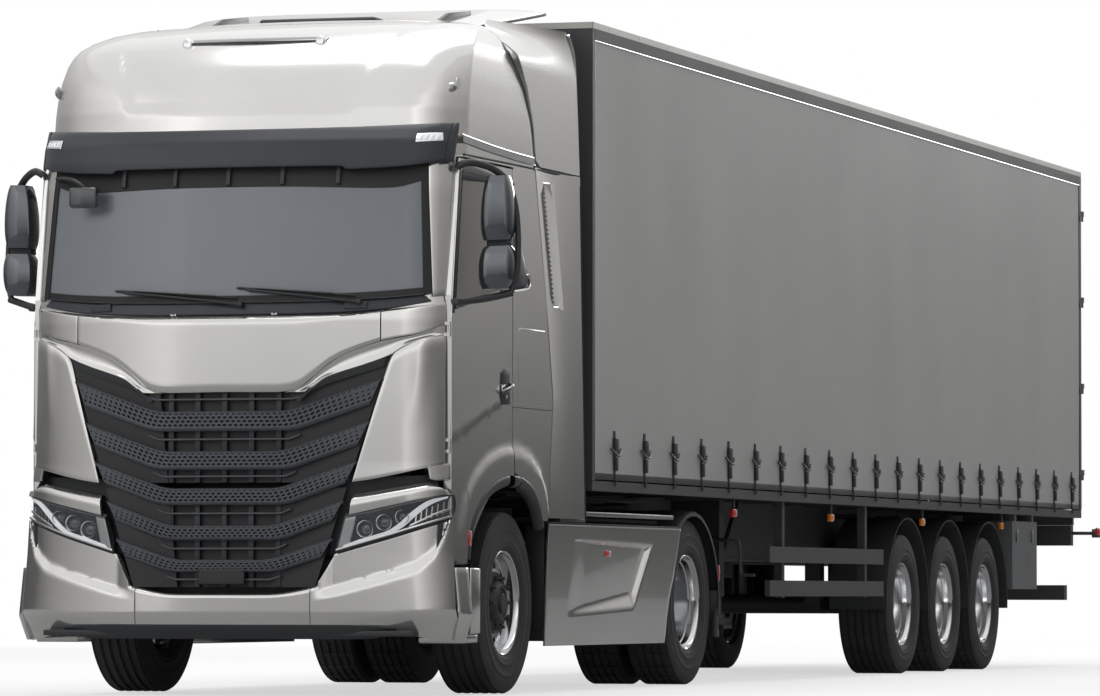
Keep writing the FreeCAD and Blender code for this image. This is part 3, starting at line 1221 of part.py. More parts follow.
def gate_blade(level):
    """The frame's half of a rear door hinge: a blade on the post and its pin."""
    blade = block("gate_blade_%d" % level, ("trailer_half", "trailer_half + 6"),
                  (REAR_END + " - 60", "trailer_length + gate_setback"), (str(level), str(level + 40)))
    pin = rod("gate_pin_%d" % level, "z", "gate_pin", (str(level), str(level + 84)), GATE_SPOT)
    return [blade, pin]


def gate_eye(name, level):
    """The door's half: an eye over the pin and a strap across the leaf."""
    span = ("%d + fit" % (level + 40), str(level + 84))
    eye = rod("gate_eye_" + name, "z", "gate_pin + 6", span, GATE_SPOT)
    strap = block("gate_strap_" + name, ("trailer_half - 300", "gate_axis"),
                  ("trailer_length - 1", "trailer_length + 6"), span)
    bore = rod("gate_bore_" + name, "z", "gate_pin + fit", span, GATE_SPOT)
    return cut("gate_lug_" + name, joined("gate_lug_raw_" + name, eye, strap), bore)


def rear_doors():
    rod_middle = "trailer_length + rear_gear - 13"
    for side, name in ((1, "left"), (-1, "right")):
        pieces = [block("rear_leaf_" + name, ("6", "trailer_half - 6"), (REAR_END, "trailer_length"),
                        ("load_floor + 8", "trailer_top - 6"))]
        for level in GATE_LEVELS:
            pieces.append(gate_eye("%s_%d" % (name, level), level))
        for index, x in enumerate(("220", "920")):
            pieces.append(rod("lock_rod_%s_%d" % (name, index), "z", "13",
                              ("load_floor + 20", "trailer_top - 20"), (x, rod_middle)))
            for step, level in enumerate(("load_floor + 120", "load_floor + 1300", "trailer_top - 160")):
                pieces.append(block("rod_guide_%s_%d_%d" % (name, index, step), (x + " - 40", x + " + 40"),
                                    ("trailer_length - 2", rod_middle), (level, level + " + 50")))
        made = joined("rear_door_body_" + name, *pieces)
        node("rear_door_" + name, [mirrored(made) if side < 0 else made], y=TRAILER)


def build():
    chassis_frame()
    engine_block()
    front_axle()
    drive_axle()
    fifth_wheel()
    fuel_tanks()
    side_skirts()
    drive_mudguards()
    front_bumper()
    headlamps()
    lower_grille()
    entry_steps()
    cab_shell()
    cab_roof()
    windscreen()
    sun_visor()
    corner_panels()
    upper_grille()
    cowl()
    hood()
    wheel_arches()
    side_deflectors()
    roof_deflector()
    cab_inside()
    for side, name in ((1, "left"), (-1, "right")):
        door_and_glass(side, name)
        mirror(side, name)
        knuckle(side, name)
    wheels()
    trailer_frame()
    load_floor()
    headboard()
    rear_frame()
    trailer_roof()
    side_posts()
    side_curtains()
    landing_legs()
    trailer_axles()
    trailer_mudguards()
    side_guards()
    tool_box()
    rear_bumper()
    rear_doors()


def check_and_write():
    document.recompute()
    for thing in document.Objects:
        if "Invalid" in thing.State or "Error" in thing.State:
            raise RuntimeError("%s did not build: %s" % (thing.Name, thing.State))
    os.makedirs("parts", exist_ok=True)
    for made in nodes:
        if made.Shape.isNull() or not made.Shape.isValid():
            raise RuntimeError("%s has no valid shape" % made.Label)
    for made in nodes:
        made.Shape.exportStep(os.path.join("parts", made.Label + ".step"))


build()
check_and_write()
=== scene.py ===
import bpy
import json
import math
from mathutils import Matrix, Vector


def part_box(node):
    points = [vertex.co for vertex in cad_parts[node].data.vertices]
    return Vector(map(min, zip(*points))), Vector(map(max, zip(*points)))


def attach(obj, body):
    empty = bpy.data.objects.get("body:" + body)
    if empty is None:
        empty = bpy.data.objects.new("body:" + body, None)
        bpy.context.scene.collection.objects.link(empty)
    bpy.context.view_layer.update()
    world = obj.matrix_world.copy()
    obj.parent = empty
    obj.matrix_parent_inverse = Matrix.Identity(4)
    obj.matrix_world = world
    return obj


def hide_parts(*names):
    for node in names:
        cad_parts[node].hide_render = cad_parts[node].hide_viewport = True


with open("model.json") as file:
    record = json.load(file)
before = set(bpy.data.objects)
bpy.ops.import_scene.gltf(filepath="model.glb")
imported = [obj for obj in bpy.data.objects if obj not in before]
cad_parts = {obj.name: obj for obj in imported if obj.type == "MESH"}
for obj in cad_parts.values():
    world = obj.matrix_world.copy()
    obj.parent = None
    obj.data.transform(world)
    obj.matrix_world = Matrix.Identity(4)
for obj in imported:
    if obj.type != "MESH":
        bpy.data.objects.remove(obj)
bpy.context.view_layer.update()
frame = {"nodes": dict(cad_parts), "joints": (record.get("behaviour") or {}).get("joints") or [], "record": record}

# Everything is drawn from the front axle's middle, and moved to its place in the row by CAB.
AXLE = sum(corner.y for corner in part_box("front_wheel_left")) / 2
CAB = Vector((0, AXLE, 0))
SIDES = (("left", 1), ("right", -1))

# Camera, studio and floor ---------------------------------

# The camera's place and focal length, and its turn from straight ahead, upward look and roll in degrees.
CAMERA_PLACE, CAMERA_LENS = (11.842, AXLE - 33.152, 0.584), 198.2
CAMERA_TURN, CAMERA_RISE, CAMERA_ROLL = 17.398, 2.313, 0.077
# The reflection cards: their distance to each side, both ends along the lorry and their height.
CARD_SIDE, CARD_FRONT, CARD_BACK, CARD_TOP = 9, AXLE - 20, 240, 12

scene = bpy.context.scene
scene.view_settings.view_transform = "Standard"

lens = bpy.data.cameras.new("camera")
lens.lens = CAMERA_LENS
lens.clip_start = 1.0
lens.clip_end = 400.0
camera = bpy.data.objects.new("camera", lens)
scene.collection.objects.link(camera)
camera.location = CAMERA_PLACE
camera.rotation_euler = (
    Matrix.Rotation(math.radians(CAMERA_TURN), 4, "Z")
    @ Matrix.Rotation(math.radians(90 + CAMERA_RISE), 4, "X")
    @ Matrix.Rotation(math.radians(CAMERA_ROLL), 4, "Z")).to_euler()
scene.camera = camera


def shade(code):
    """An sRGB hex colour as linear red, green, blue and alpha."""
    parts = [int(code[i:i + 2], 16) / 255 for i in (1, 3, 5)]
    return [c / 12.92 if c <= 0.04045 else ((c + 0.055) / 1.055) ** 2.4 for c in parts] + [1.0]


def add(tree, kind, settings=None, **inputs):
    """Adds a node with its settings. An input is a value, another node's socket, or a node for its
    first socket. In its name an underscore stands for a space, and in0, in1 ... go by place."""
    made = tree.nodes.new(kind)
    for name, value in (settings or {}).items():
        setattr(made, name, value)
    for name, value in inputs.items():
        by_place = name[:2] == "in" and name[2:].isdigit()
        socket = made.inputs[int(name[2:]) if by_place else name.replace("_", " ")]
        if isinstance(value, bpy.types.Node):
            value = value.outputs[0]
        if isinstance(value, bpy.types.NodeSocket):
            tree.links.new(value, socket)
        else:
            socket.default_value = value
    return made


world = bpy.data.worlds.new("studio")
scene.world = world
world.use_nodes = True
tree = world.node_tree
tree.nodes.clear()
path = add(tree, "ShaderNodeLightPath")
seen = add(tree, "ShaderNodeMath", {"operation": "MAXIMUM"}, in0=path.outputs["Is Camera Ray"],
           in1=path.outputs["Is Glossy Ray"])
seen = add(tree, "ShaderNodeMath", {"operation": "MAXIMUM"}, in0=seen, in1=path.outputs["Is Transmission Ray"])
level = add(tree, "ShaderNodeMapRange", Value=seen, To_Min=0.34, To_Max=1.0)
sky = add(tree, "ShaderNodeBackground", Color=(1, 1, 1, 1), Strength=level)
add(tree, "ShaderNodeOutputWorld", Surface=sky)


def lamp(name, place, aim, size, power):
    data = bpy.data.lights.new(name, "AREA")
    data.shape = "RECTANGLE"
    data.size, data.size_y = size
    data.energy = power
    made = bpy.data.objects.new(name, data)
    scene.collection.objects.link(made)
    made.location = place
    made.rotation_euler = (Vector(aim) - Vector(place)).to_track_quat("-Z", "Y").to_euler()
    made.visible_glossy = name in ("top", "back")


lamp("key", (-9, AXLE - 15, 11), (0, AXLE, 1.6), (9, 7), 1500)
lamp("top", (0, 0, 14), (0, 0, 0), (8, 22), 1500)
lamp("side", (17, 0, 8), (0, 0, 2), (22, 6), 420)
lamp("far_side", (-17, 4, 8), (0, 0, 2), (22, 6), 800)
lamp("back", (2, 24, 9), (0, 8, 2), (10, 6), 1200)


def stage_plane(name, corners, material):
    mesh = bpy.data.meshes.new(name)
    mesh.from_pydata(corners, [], [tuple(range(len(corners)))])
    made = bpy.data.objects.new(name, mesh)
    scene.collection.objects.link(made)
    mesh.materials.append(material)
    return made


def reflection_card(name, corners, material):
    """A stage plane that only reflections see."""
    card = stage_plane(name, corners, material)
    card.visible_camera = card.visible_diffuse = card.visible_shadow = card.visible_transmission = False


def blank(name):
    made = bpy.data.materials.new(name)
    made.use_nodes = True
    made.node_tree.nodes.clear()
    return made, made.node_tree


floor_paint, tree = blank("studio_floor")
path = add(tree, "ShaderNodeLightPath")
grain = add(tree, "ShaderNodeTexNoise", Scale=0.6)
tone = add(tree, "ShaderNodeMixRGB", Fac=grain, Color1=shade("#f2f2f2"), Color2=shade("#f5f5f5"))
lit = add(tree, "ShaderNodeBsdfDiffuse", Color=tone)
glow = add(tree, "ShaderNodeEmission", Color=(1, 1, 1, 1), Strength=1.0)
spot = add(tree, "ShaderNodeTexCoord").outputs["Object"]
reach = add(tree, "ShaderNodeVectorMath", {"operation": "LENGTH"}, in0=spot)
away = add(tree, "ShaderNodeMapRange", Value=reach.outputs["Value"], From_Min=13.0, From_Max=26.0,
           To_Min=0.62, To_Max=1.0)
part = add(tree, "ShaderNodeMath", {"operation": "MULTIPLY"}, in0=path.outputs["Is Camera Ray"], in1=away)
both_ways = add(tree, "ShaderNodeMixShader", Fac=part, in1=lit, in2=glow)
dim = add(tree, "ShaderNodeEmission", Color=(1, 1, 1, 1), Strength=0.10)
in_gloss = add(tree, "ShaderNodeMath", {"operation": "MULTIPLY"}, in0=path.outputs["Is Glossy Ray"], in1=0.75)
both_ways = add(tree, "ShaderNodeMixShader", Fac=in_gloss, in1=both_ways, in2=dim)
add(tree, "ShaderNodeOutputMaterial", Surface=both_ways)
stage_plane("floor", [(-90, -60, 0), (90, -60, 0), (90, 120, 0), (-90, 120, 0)], floor_paint)

# Graded cards along both sides: only reflections see them, so the paint shows its curves.
card_paint, tree = blank("studio_card")
spot = add(tree, "ShaderNodeTexCoord").outputs["Object"]
height = add(tree, "ShaderNodeSeparateXYZ", in0=spot)
grade = add(tree, "ShaderNodeMapRange", Value=height.outputs["Z"], From_Min=1.2, From_Max=10.0,
            To_Min=0.05, To_Max=0.80)
fade = add(tree, "ShaderNodeMapRange", Value=height.outputs["Y"], From_Min=CARD_FRONT, From_Max=AXLE - 2,
           To_Min=0.9, To_Max=0.0)
total = add(tree, "ShaderNodeMath", {"operation": "ADD"}, in0=grade, in1=fade)
glow = add(tree, "ShaderNodeEmission", Color=(1.0, 0.99, 0.97, 1), Strength=total)
add(tree, "ShaderNodeOutputMaterial", Surface=glow)
for label, side in reversed(SIDES):
    reflection_card("card_" + label, [(side * CARD_SIDE, y, z) for y, z in (
        (CARD_FRONT, 0), (CARD_BACK, 0), (CARD_BACK, CARD_TOP), (CARD_FRONT, CARD_TOP))], card_paint)

# One more across the front, brighter upwards, for the flap, the corners and the windscreen.
front_card, tree = blank("studio_front_card")
spot = add(tree, "ShaderNodeTexCoord").outputs["Object"]
height = add(tree, "ShaderNodeSeparateXYZ", in0=spot)
grade = add(tree, "ShaderNodeMapRange", Value=height.outputs["Z"], From_Min=0.0, From_Max=6.0, To_Min=0.30, To_Max=1.15)
glow = add(tree, "ShaderNodeEmission", Color=(1.0, 1.0, 1.0, 1), Strength=grade)
add(tree, "ShaderNodeOutputMaterial", Surface=glow)
reflection_card("card_front", [(-70, CARD_FRONT, 0), (CARD_SIDE, CARD_FRONT, 0), (CARD_SIDE, CARD_FRONT, CARD_TOP),
                               (-70, CARD_FRONT, CARD_TOP)], front_card)

# Finishes -------------------------------------------------
# A grain finer than about 2 mm, or a thread finer than about 3 to 5 mm, is drawn that coarse here,
# or it would not show on a lorry.


def surface(name, colour, second=None, spread=0.5, scale=2.0, metallic=0.0, rough=0.5, rough_spread=0.05,
            bump=0.0, grain=300.0, kind="noise", depth=0.001, coat=0.0, coat_rough=0.05, **fixed):
    """A finish whose colour drifts between two tones and whose gloss and relief come from noise.
    Scale and grain are spots in a metre, with one thread for two; depth is metres of relief."""
    made, tree = blank(name)
    spot = add(tree, "ShaderNodeTexCoord").outputs["Object"]
    drift = add(tree, "ShaderNodeTexNoise", Vector=spot, Scale=scale, Detail=4.0)
    ramp = add(tree, "ShaderNodeMapRange", Value=drift, From_Min=0.5 - spread / 2, From_Max=0.5 + spread / 2)
    tone = add(tree, "ShaderNodeMixRGB", Fac=ramp, Color1=shade(colour), Color2=shade(second or colour))
    gloss = add(tree, "ShaderNodeMapRange", Value=drift, To_Min=max(rough - rough_spread, 0.02),
                To_Max=min(rough + rough_spread, 1.0))
    skin = add(tree, "ShaderNodeBsdfPrincipled", Base_Color=tone, Roughness=gloss,
               Metallic=metallic, Coat_Weight=coat, Coat_Roughness=coat_rough, **fixed)
    if bump:
        if kind == "weave":
            weft, warp = [add(tree, "ShaderNodeTexWave", {"bands_direction": way}, Vector=spot,
                              Scale=grain / 6.28).outputs["Fac"] for way in "XZ"]
            relief = add(tree, "ShaderNodeMath", {"operation": "MULTIPLY"}, in0=weft, in1=warp)
        elif kind == "cells":
            relief = add(tree, "ShaderNodeTexVoronoi", Vector=spot, Scale=grain)
        else:
            relief = add(tree, "ShaderNodeTexNoise", Vector=spot, Scale=grain, Detail=3.0)
        raised = add(tree, "ShaderNodeBump", Height=relief, Strength=bump, Distance=depth)
        tree.links.new(raised.outputs[0], skin.inputs["Normal"])
    add(tree, "ShaderNodeOutputMaterial", Surface=skin)
    return made


# Two-coat metallic lacquer over pressed steel and moulded panels: a fine aluminium flake under
# clear lacquer, so it turns from champagne to grey as a panel curves away.
PAINT = surface("champagne_metallic_lacquer", "#d7d6d4", "#cfcecc", metallic=0.90, rough=0.17, rough_spread=0.02,
                scale=1.5, coat=1.0, coat_rough=0.03)
# Moulded ABS with a fine eroded grain: charcoal with a dull sheen.
BLACK_PLASTIC = surface("grained_abs", "#2c2e31", "#26282b", rough=0.48, bump=0.25, grain=500.0, depth=0.0006)
# Grille bars are the same plastic with a greyer dusting coat.
GRILLE_PLASTIC = surface("grille_abs", "#4a4d52", "#43464b", rough=0.42, metallic=0.25, bump=0.15,
                         grain=500.0, depth=0.0005)
# Polished acrylic-faced plastic on grips, quarter frames and lamp rims: grey-black piano gloss.
GLOSS_BLACK = surface("gloss_black_plastic", "#3a3d41", "#34373b", rough=0.10, coat=1.0, coat_rough=0.03, metallic=0.3)
# Lacquer of the mirror housings: a dark metallic gloss that mirrors its surroundings.
HOUSING = surface("mirror_housing_lacquer", "#5d6166", "#575b60", metallic=0.8, rough=0.10, coat=1.0, coat_rough=0.03)
# Smoked acrylic of the visor and the cowl: a dark, even face with a soft gloss.
SMOKED = surface("smoked_acrylic", "#33363b", "#2c2f34", rough=0.30, Specular_IOR_Level=0.35)
# Cast and machined aluminium, buffed: bright, with a slightly uneven sheen.
ALLOY = surface("polished_aluminium", "#d9dadc", "#cfd0d2", metallic=1.0, rough=0.13, rough_spread=0.05, scale=8.0,
                bump=0.04, grain=200.0, depth=0.0005)
# Chromed brass and plastic: a clean mirror on small parts.
CHROME = surface("bright_chrome", "#e6e7e9", metallic=1.0, rough=0.05, rough_spread=0.02)
# Natural rubber with carbon black: dry, dark, slightly dusty in the tread.
RUBBER = surface("tyre_rubber", "#2d2d2e", "#252526", rough=0.72, bump=0.3, grain=260.0, depth=0.0008, scale=6.0)
# Extruded sealing rubber: flat black, without the tyre's dust.
SEAL = surface("door_seal_rubber", "#161718", "#1b1c1d", rough=0.6, bump=0.1, grain=300.0)
# Chassis enamel: satin black over rolled steel with a little orange peel.
CHASSIS = surface("chassis_enamel", "#1d1e1f", "#252627", rough=0.5, bump=0.2, grain=120.0, depth=0.0008)
# Satin dark grey powder coat on the trailer's steel.
STEEL_GREY = surface("powder_coated_steel", "#3b3c3e", "#353638", rough=0.45, bump=0.2, grain=350.0, depth=0.0006)
# Melamine-faced laminate of the trailer's front and rear panels: an even mid grey.
PANEL_GREY = surface("grey_laminate_panel", "#77787a", "#707173", rough=0.35, bump=0.05, grain=60.0)
# Anodised roof rail: a pale satin grey.
RAIL_GREY = surface("anodised_rail", "#aeaca8", "#a6a4a0", rough=0.40)
# Inside the deflector's vent: the body paint's pale tone without its metal, so that the ramp renders brighter than the
# paint around it, a painted highlight for the lit inner face.
VENT_HIGHLIGHT_PAINT = surface("vent_paint_painted_highlight", "#d2d0cb", "#cbc9c4", rough=0.35, coat=0.5)
# Cast iron, oiled and dusty: brown-black and rough.
IRON = surface("cast_iron", "#3a3836", "#45413d", rough=0.65, bump=0.6, grain=140.0, depth=0.002, metallic=0.3)
# Brushed aluminium of tank and posts: a pale, soft, grainy shine.
BRUSHED = surface("brushed_aluminium", "#a9abad", "#9c9ea0", metallic=1.0, rough=0.34, bump=0.1,
                  grain=400.0, depth=0.0004)
# PVC-coated polyester, 900 g in a square metre: matt grey with a faint thread pattern pressed through.
CURTAIN = surface("pvc_coated_polyester", "#8b8b8a", "#858584", rough=0.55, scale=0.7, bump=0.12, grain=420.0,
                  kind="weave", depth=0.0006, Sheen_Weight=0.05)
# Phenolic film over birch plywood: dark brown with a wire-mesh print.
BOARD = surface("film_faced_plywood", "#4a3427", "#3f2c21", rough=0.55, bump=0.3, grain=250.0,
                kind="cells", depth=0.001)
# Flat-woven polyester seat cloth: dark grey and quite matt, with a visible thread.
CLOTH = surface("flat_woven_polyester", "#3b3c40", "#33343a", rough=0.9, bump=0.5, grain=700.0, kind="weave",
                depth=0.0008, Sheen_Weight=0.3)
# Polyurethane soft-touch moulding of the dashboard: dark and even, with a pebbled grain.
SOFT_TOUCH = surface("soft_touch_moulding", "#2b2c2f", "#333438", rough=0.62, bump=0.35, grain=420.0,
                     kind="cells", depth=0.0007)
# Needled felt on the cab's walls: pale, quite without gloss.
LINING = surface("cab_lining_felt", "#7d7b76", "#74726d", rough=0.95, bump=0.4, grain=500.0, depth=0.0008,
                 Sheen_Weight=0.2)
# Rotation-moulded polyethylene of the tool box: grey and waxy.
GREY_PLASTIC = surface("polyethylene_box", "#56585a", "#4f5153", rough=0.5, bump=0.2, grain=200.0, depth=0.001)
# Moulded lens plastics: red and amber over prisms, and frosted white for light guides.
RED_LENS = surface("red_lens", "#c2202a", "#a91822", rough=0.12, coat=1.0, bump=0.4, grain=160.0,
                   kind="cells", depth=0.002)
AMBER_LENS = surface("amber_lens", "#e08018", "#d07010", rough=0.12, coat=1.0, bump=0.4, grain=160.0,
                     kind="cells", depth=0.002)
WHITE_LENS = surface("frosted_white_lens", "#eceef0", "#e2e5e8", rough=0.15, coat=1.0)
# Woven polyester webbing: black with a coarse thread.
WEBBING = surface("polyester_webbing", "#2c2d2e", "#353637", rough=0.8, bump=0.5, grain=600.0,
                  kind="weave", depth=0.0008)


def glass(name, tint, cover, rough=0.02):
    """A pane that hides its cover's share of what is behind, in its tint, under a mirror-smooth coat."""
    made, tree = blank(name)
    spot = add(tree, "ShaderNodeTexCoord").outputs["Object"]
    haze = add(tree, "ShaderNodeTexNoise", Vector=spot, Scale=3.0)
    tone = add(tree, "ShaderNodeMixRGB", Fac=haze, Color1=shade(tint), Color2=shade(tint))
    share = add(tree, "ShaderNodeMapRange", Value=haze, To_Min=cover - 0.02, To_Max=cover + 0.02)
    skin = add(tree, "ShaderNodeBsdfPrincipled", Base_Color=tone, Roughness=rough, IOR=1.5,
               Alpha=share, Coat_Weight=0.6, Coat_Roughness=0.01)
    add(tree, "ShaderNodeOutputMaterial", Surface=skin)
    return made


# Laminated windscreen and tempered door glass, tinted and nearly opaque: their grey and taupe tints and that cover are
# partly the glass's own tint and partly a painted reflection of the surroundings, as daylight shows it. Clear lamp
# covers.
SCREEN = glass("screen_painted_reflection", "#6b7076", 0.90, 0.26)
DOOR_GLASS = glass("door_glass_painted_reflection", "#66625b", 0.92)
LENS = glass("polycarbonate_lens", "#a9adb1", 0.05)

# Frame nodes keep the finish of their material slot.
SLOT_FINISH = {
    "silver_paint": PAINT, "black_frame": CHASSIS, "cast_metal": IRON, "tank_alloy": BRUSHED,
    "black_plastic": BLACK_PLASTIC, "visor_plastic": SMOKED, "tinted_glass": SCREEN, "lamp_glass": LENS,
    "seat_cloth": CLOTH, "tyre_rubber": RUBBER, "grey_frame": STEEL_GREY, "floor_board": BOARD,
    "post_alloy": BRUSHED, "curtain_cloth": CURTAIN, "grey_plastic": GREY_PLASTIC, "grey_panel": PANEL_GREY,
}
node_slot = {part["node"]: part["material_slot"] for part in frame["record"]["subparts"]}
node_body = {n: b for b, names in frame["record"]["behaviour"]["bodies"].items() for n in names}
for label, made in frame["nodes"].items():
    made.data.materials.clear()
    made.data.materials.append(SLOT_FINISH[node_slot[label]])
for label in ("door_glass_left", "door_glass_right"):
    frame["nodes"][label].data.materials[0] = DOOR_GLASS

# Making and finishing pieces ------------------------------


def spread(start, end, count):
    """Evenly spaced values from start to end, both included."""
    return [start + (end - start) * i / (count - 1) for i in range(count)]


def clamped(value):
    return max(0.0, min(1.0, value))


def eased_step(value):
    """0 below 0, 1 above 1, and a smooth rise between."""
    value = clamped(value)
    return value * value * (3 - 2 * value)


def deselect():
    if bpy.context.object and bpy.context.object.mode != "OBJECT":
        bpy.ops.object.mode_set(mode="OBJECT")
    bpy.ops.object.select_all(action="DESELECT")


def hold(piece):
    """Makes one piece the only one selected, in object mode."""
    deselect()
    piece.select_set(True)
    bpy.context.view_layer.objects.active = piece
    return piece


def edit(piece):
    hold(piece)
    bpy.ops.object.mode_set(mode="EDIT")
    bpy.ops.mesh.select_all(action="SELECT")


def leave():
    bpy.ops.object.mode_set(mode="OBJECT")


def merged(piece):
    """A piece whose touching points are one."""
    edit(piece)
    bpy.ops.mesh.remove_doubles(threshold=0.0001)
    leave()
    return piece


def turn_out(piece):
    """Closes the seams and points every face outwards."""
    edit(piece)
    bpy.ops.mesh.remove_doubles(threshold=0.00005)
    bpy.ops.mesh.normals_make_consistent(inside=False)
    leave()
    return piece


def modify(piece, kind, **settings):
    hold(piece)
    made = piece.modifiers.new(kind.lower(), kind)
    for name, value in settings.items():
        setattr(made, name, value)
    bpy.ops.object.modifier_apply(modifier=made.name)
    return piece


def soften(piece, width, segments=2, angle=30):
    """Rounds the edges that turn by more than an angle."""
    return modify(piece, "BEVEL", width=width, segments=segments, limit_method="ANGLE",
                  angle_limit=math.radians(angle), harden_normals=False)


def smooth(piece, angle=35):
    hold(piece)
    bpy.ops.object.shade_smooth_by_angle(angle=math.radians(angle))
    return piece


def block(low, high, edge=0.004, segments=2):
    """A box with rounded edges between its lowest and highest corners."""
    low, high = Vector(low), Vector(high)
    deselect()
    bpy.ops.mesh.primitive_cube_add(size=1, location=(low + high) / 2)
    made = bpy.context.object
    made.scale = high - low
    bpy.ops.object.transform_apply(location=True, rotation=True, scale=True)
    return soften(made, edge, segments) if edge else made


def drawn(name, points, links, faces=()):
    mesh = bpy.data.meshes.new(name)
    mesh.from_pydata([tuple(p) for p in points], links, faces)
    made = bpy.data.objects.new(name, mesh)
    scene.collection.objects.link(made)
    return made


AXES = {"x": (1, 0, 0), "y": (0, 1, 0), "z": (0, 0, 1)}


def plate(outline, axis, low, high, edge=0.003, segments=2):
    """An outline of the other two coordinates, carried along an axis from low to high."""
    place = "xyz".index(axis)
    points = []
    for u, v in outline:
        point = [u, v]
        point.insert(place, low)
        points.append(point)
    made = drawn("plate", points, [], [tuple(range(len(points)))])
    edit(made)
    bpy.ops.mesh.extrude_region_move(TRANSFORM_OT_translate={"value": Vector(AXES[axis]) * (high - low)})
    leave()
    turn_out(made)
    return soften(made, edge, segments) if edge else made


def turned(profile, centre, axis="x", steps=48):
    """A profile of (place along the axis, radius) turned about it."""
    centre = Vector(centre)
    along = Vector(AXES[axis])
    outward = Vector((0, 0, 1)) if axis != "z" else Vector((1, 0, 0))
    points = [centre + along * a + outward * r for a, r in profile]
    made = drawn("turned", points, [(i, i + 1) for i in range(len(points) - 1)])
    edit(made)
    bpy.ops.mesh.spin(steps=steps, angle=2 * math.pi, center=centre, axis=along)
    leave()
    return turn_out(made)


def rod(start, end, radius, sides=16, edge=0.0):
    """A straight round bar between two points."""
    start, end = Vector(start), Vector(end)
    deselect()
    way = end - start
    bpy.ops.mesh.primitive_cylinder_add(vertices=sides, radius=radius, depth=way.length, location=(start + end) / 2,
                                        rotation=way.to_track_quat("Z", "Y").to_euler())
    made = bpy.context.object
    bpy.ops.object.transform_apply(location=True, rotation=True, scale=True)
    return soften(made, edge, 2, 50) if edge else made


def tube(points, radius, sides=8, order=3):
    """A bent rod along a smooth line."""
    data = bpy.data.curves.new("tube", "CURVE")
    data.dimensions = "3D"
    data.bevel_depth = radius
    data.bevel_resolution = max(sides // 4, 1)
    data.use_fill_caps = True
    line = data.splines.new("NURBS")
    line.points.add(len(points) - 1)
    for spot, point in zip(line.points, points):
        spot.co = (*point, 1)
    line.order_u = order
    line.use_endpoint_u = True
    line.resolution_u = 6
    made = bpy.data.objects.new("tube", data)
    scene.collection.objects.link(made)
    hold(made)
    bpy.ops.object.convert(target="MESH")
    return turn_out(bpy.context.object)


def sheet_of(rows, thick=0.0, offset=-1.0, flip=False):
    """A skin through rows of points, given a wall."""
    wide = len(rows[0])
    points = [p for row in rows for p in row]
    faces = []
    for r in range(len(rows) - 1):
        for c in range(wide - 1):
            corner = r * wide + c
            quad = (corner, corner + 1, corner + wide + 1, corner + wide)
            faces.append(tuple(reversed(quad)) if flip else quad)
    made = drawn("skin", points, [], faces)
    if thick:
        modify(made, "SOLIDIFY", thickness=thick, offset=offset, use_even_offset=False)
    return made


def closed_sheet(rows, thick, offset=-1.0):
    """A walled skin with its seams closed and its faces outwards."""
    return turn_out(sheet_of(rows, thick, offset))


def copied(piece, move=(0, 0, 0), flip=False, turn=None):
    """A copy with its own mesh, moved, turned or mirrored to the other side."""
    made = piece.copy()
    made.data = piece.data.copy()
    scene.collection.objects.link(made)
    matrix = Matrix.Translation(Vector(move))
    if turn is not None:
        matrix = matrix @ turn
    if flip:
        matrix = Matrix.Scale(-1, 4, (1, 0, 0)) @ matrix
    made.data.transform(matrix)
    if flip:
        made.data.flip_normals()
    return made


def paired(piece):
    """A piece and its mirror image."""
    return [piece, copied(piece, flip=True)]


def joined(*pieces):
    """Joins pieces into the first one; each keeps its finish."""
    flat = []
    for piece in pieces:
        flat += list(piece) if isinstance(piece, (list, tuple)) else [piece]
    hold(flat[0])
    for piece in flat[1:]:
        piece.select_set(True)
    bpy.ops.object.join()
    return bpy.context.object


def both_sides(half):
    return joined(paired(half))


def coat(piece, material):
    piece.data.materials.clear()
    piece.data.materials.append(material)
    for face in piece.data.polygons:
        face.material_index = 0
    return piece


def slab(material, low, high, edge=0.004, segments=2):
    return coat(block(low, high, edge, segments), material)


def side_slab(material, side, near, far, low, high, edge=0.004, segments=2):
    """A slab on one side, from its two distances from the middle and its corners' (y, z)."""
    left, right = sorted((side * near, side * far))
    return slab(material, (left, *low), (right, *high), edge, segments)


def settle(piece, name, body, origin=CAB, angle=35, replaces=()):
    """Names a finished piece, puts it in the row frame and on its body."""
    piece.data.transform(Matrix.Translation(Vector(origin)))
    piece.name = piece.data.name = name
    smooth(piece, angle)
    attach(piece, body)
    for label in replaces:
        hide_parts(label)
    return piece


def blend_between(table, value):
    """Straight-line reading of a table of (key, value)."""
    if value <= table[0][0]:
        return table[0][1]
    for (low, a), (high, b) in zip(table, table[1:]):
        if value <= high:
            return a + (b - a) * (value - low) / (high - low)
    return table[-1][1]


# Wheels ---------------------------------------------------

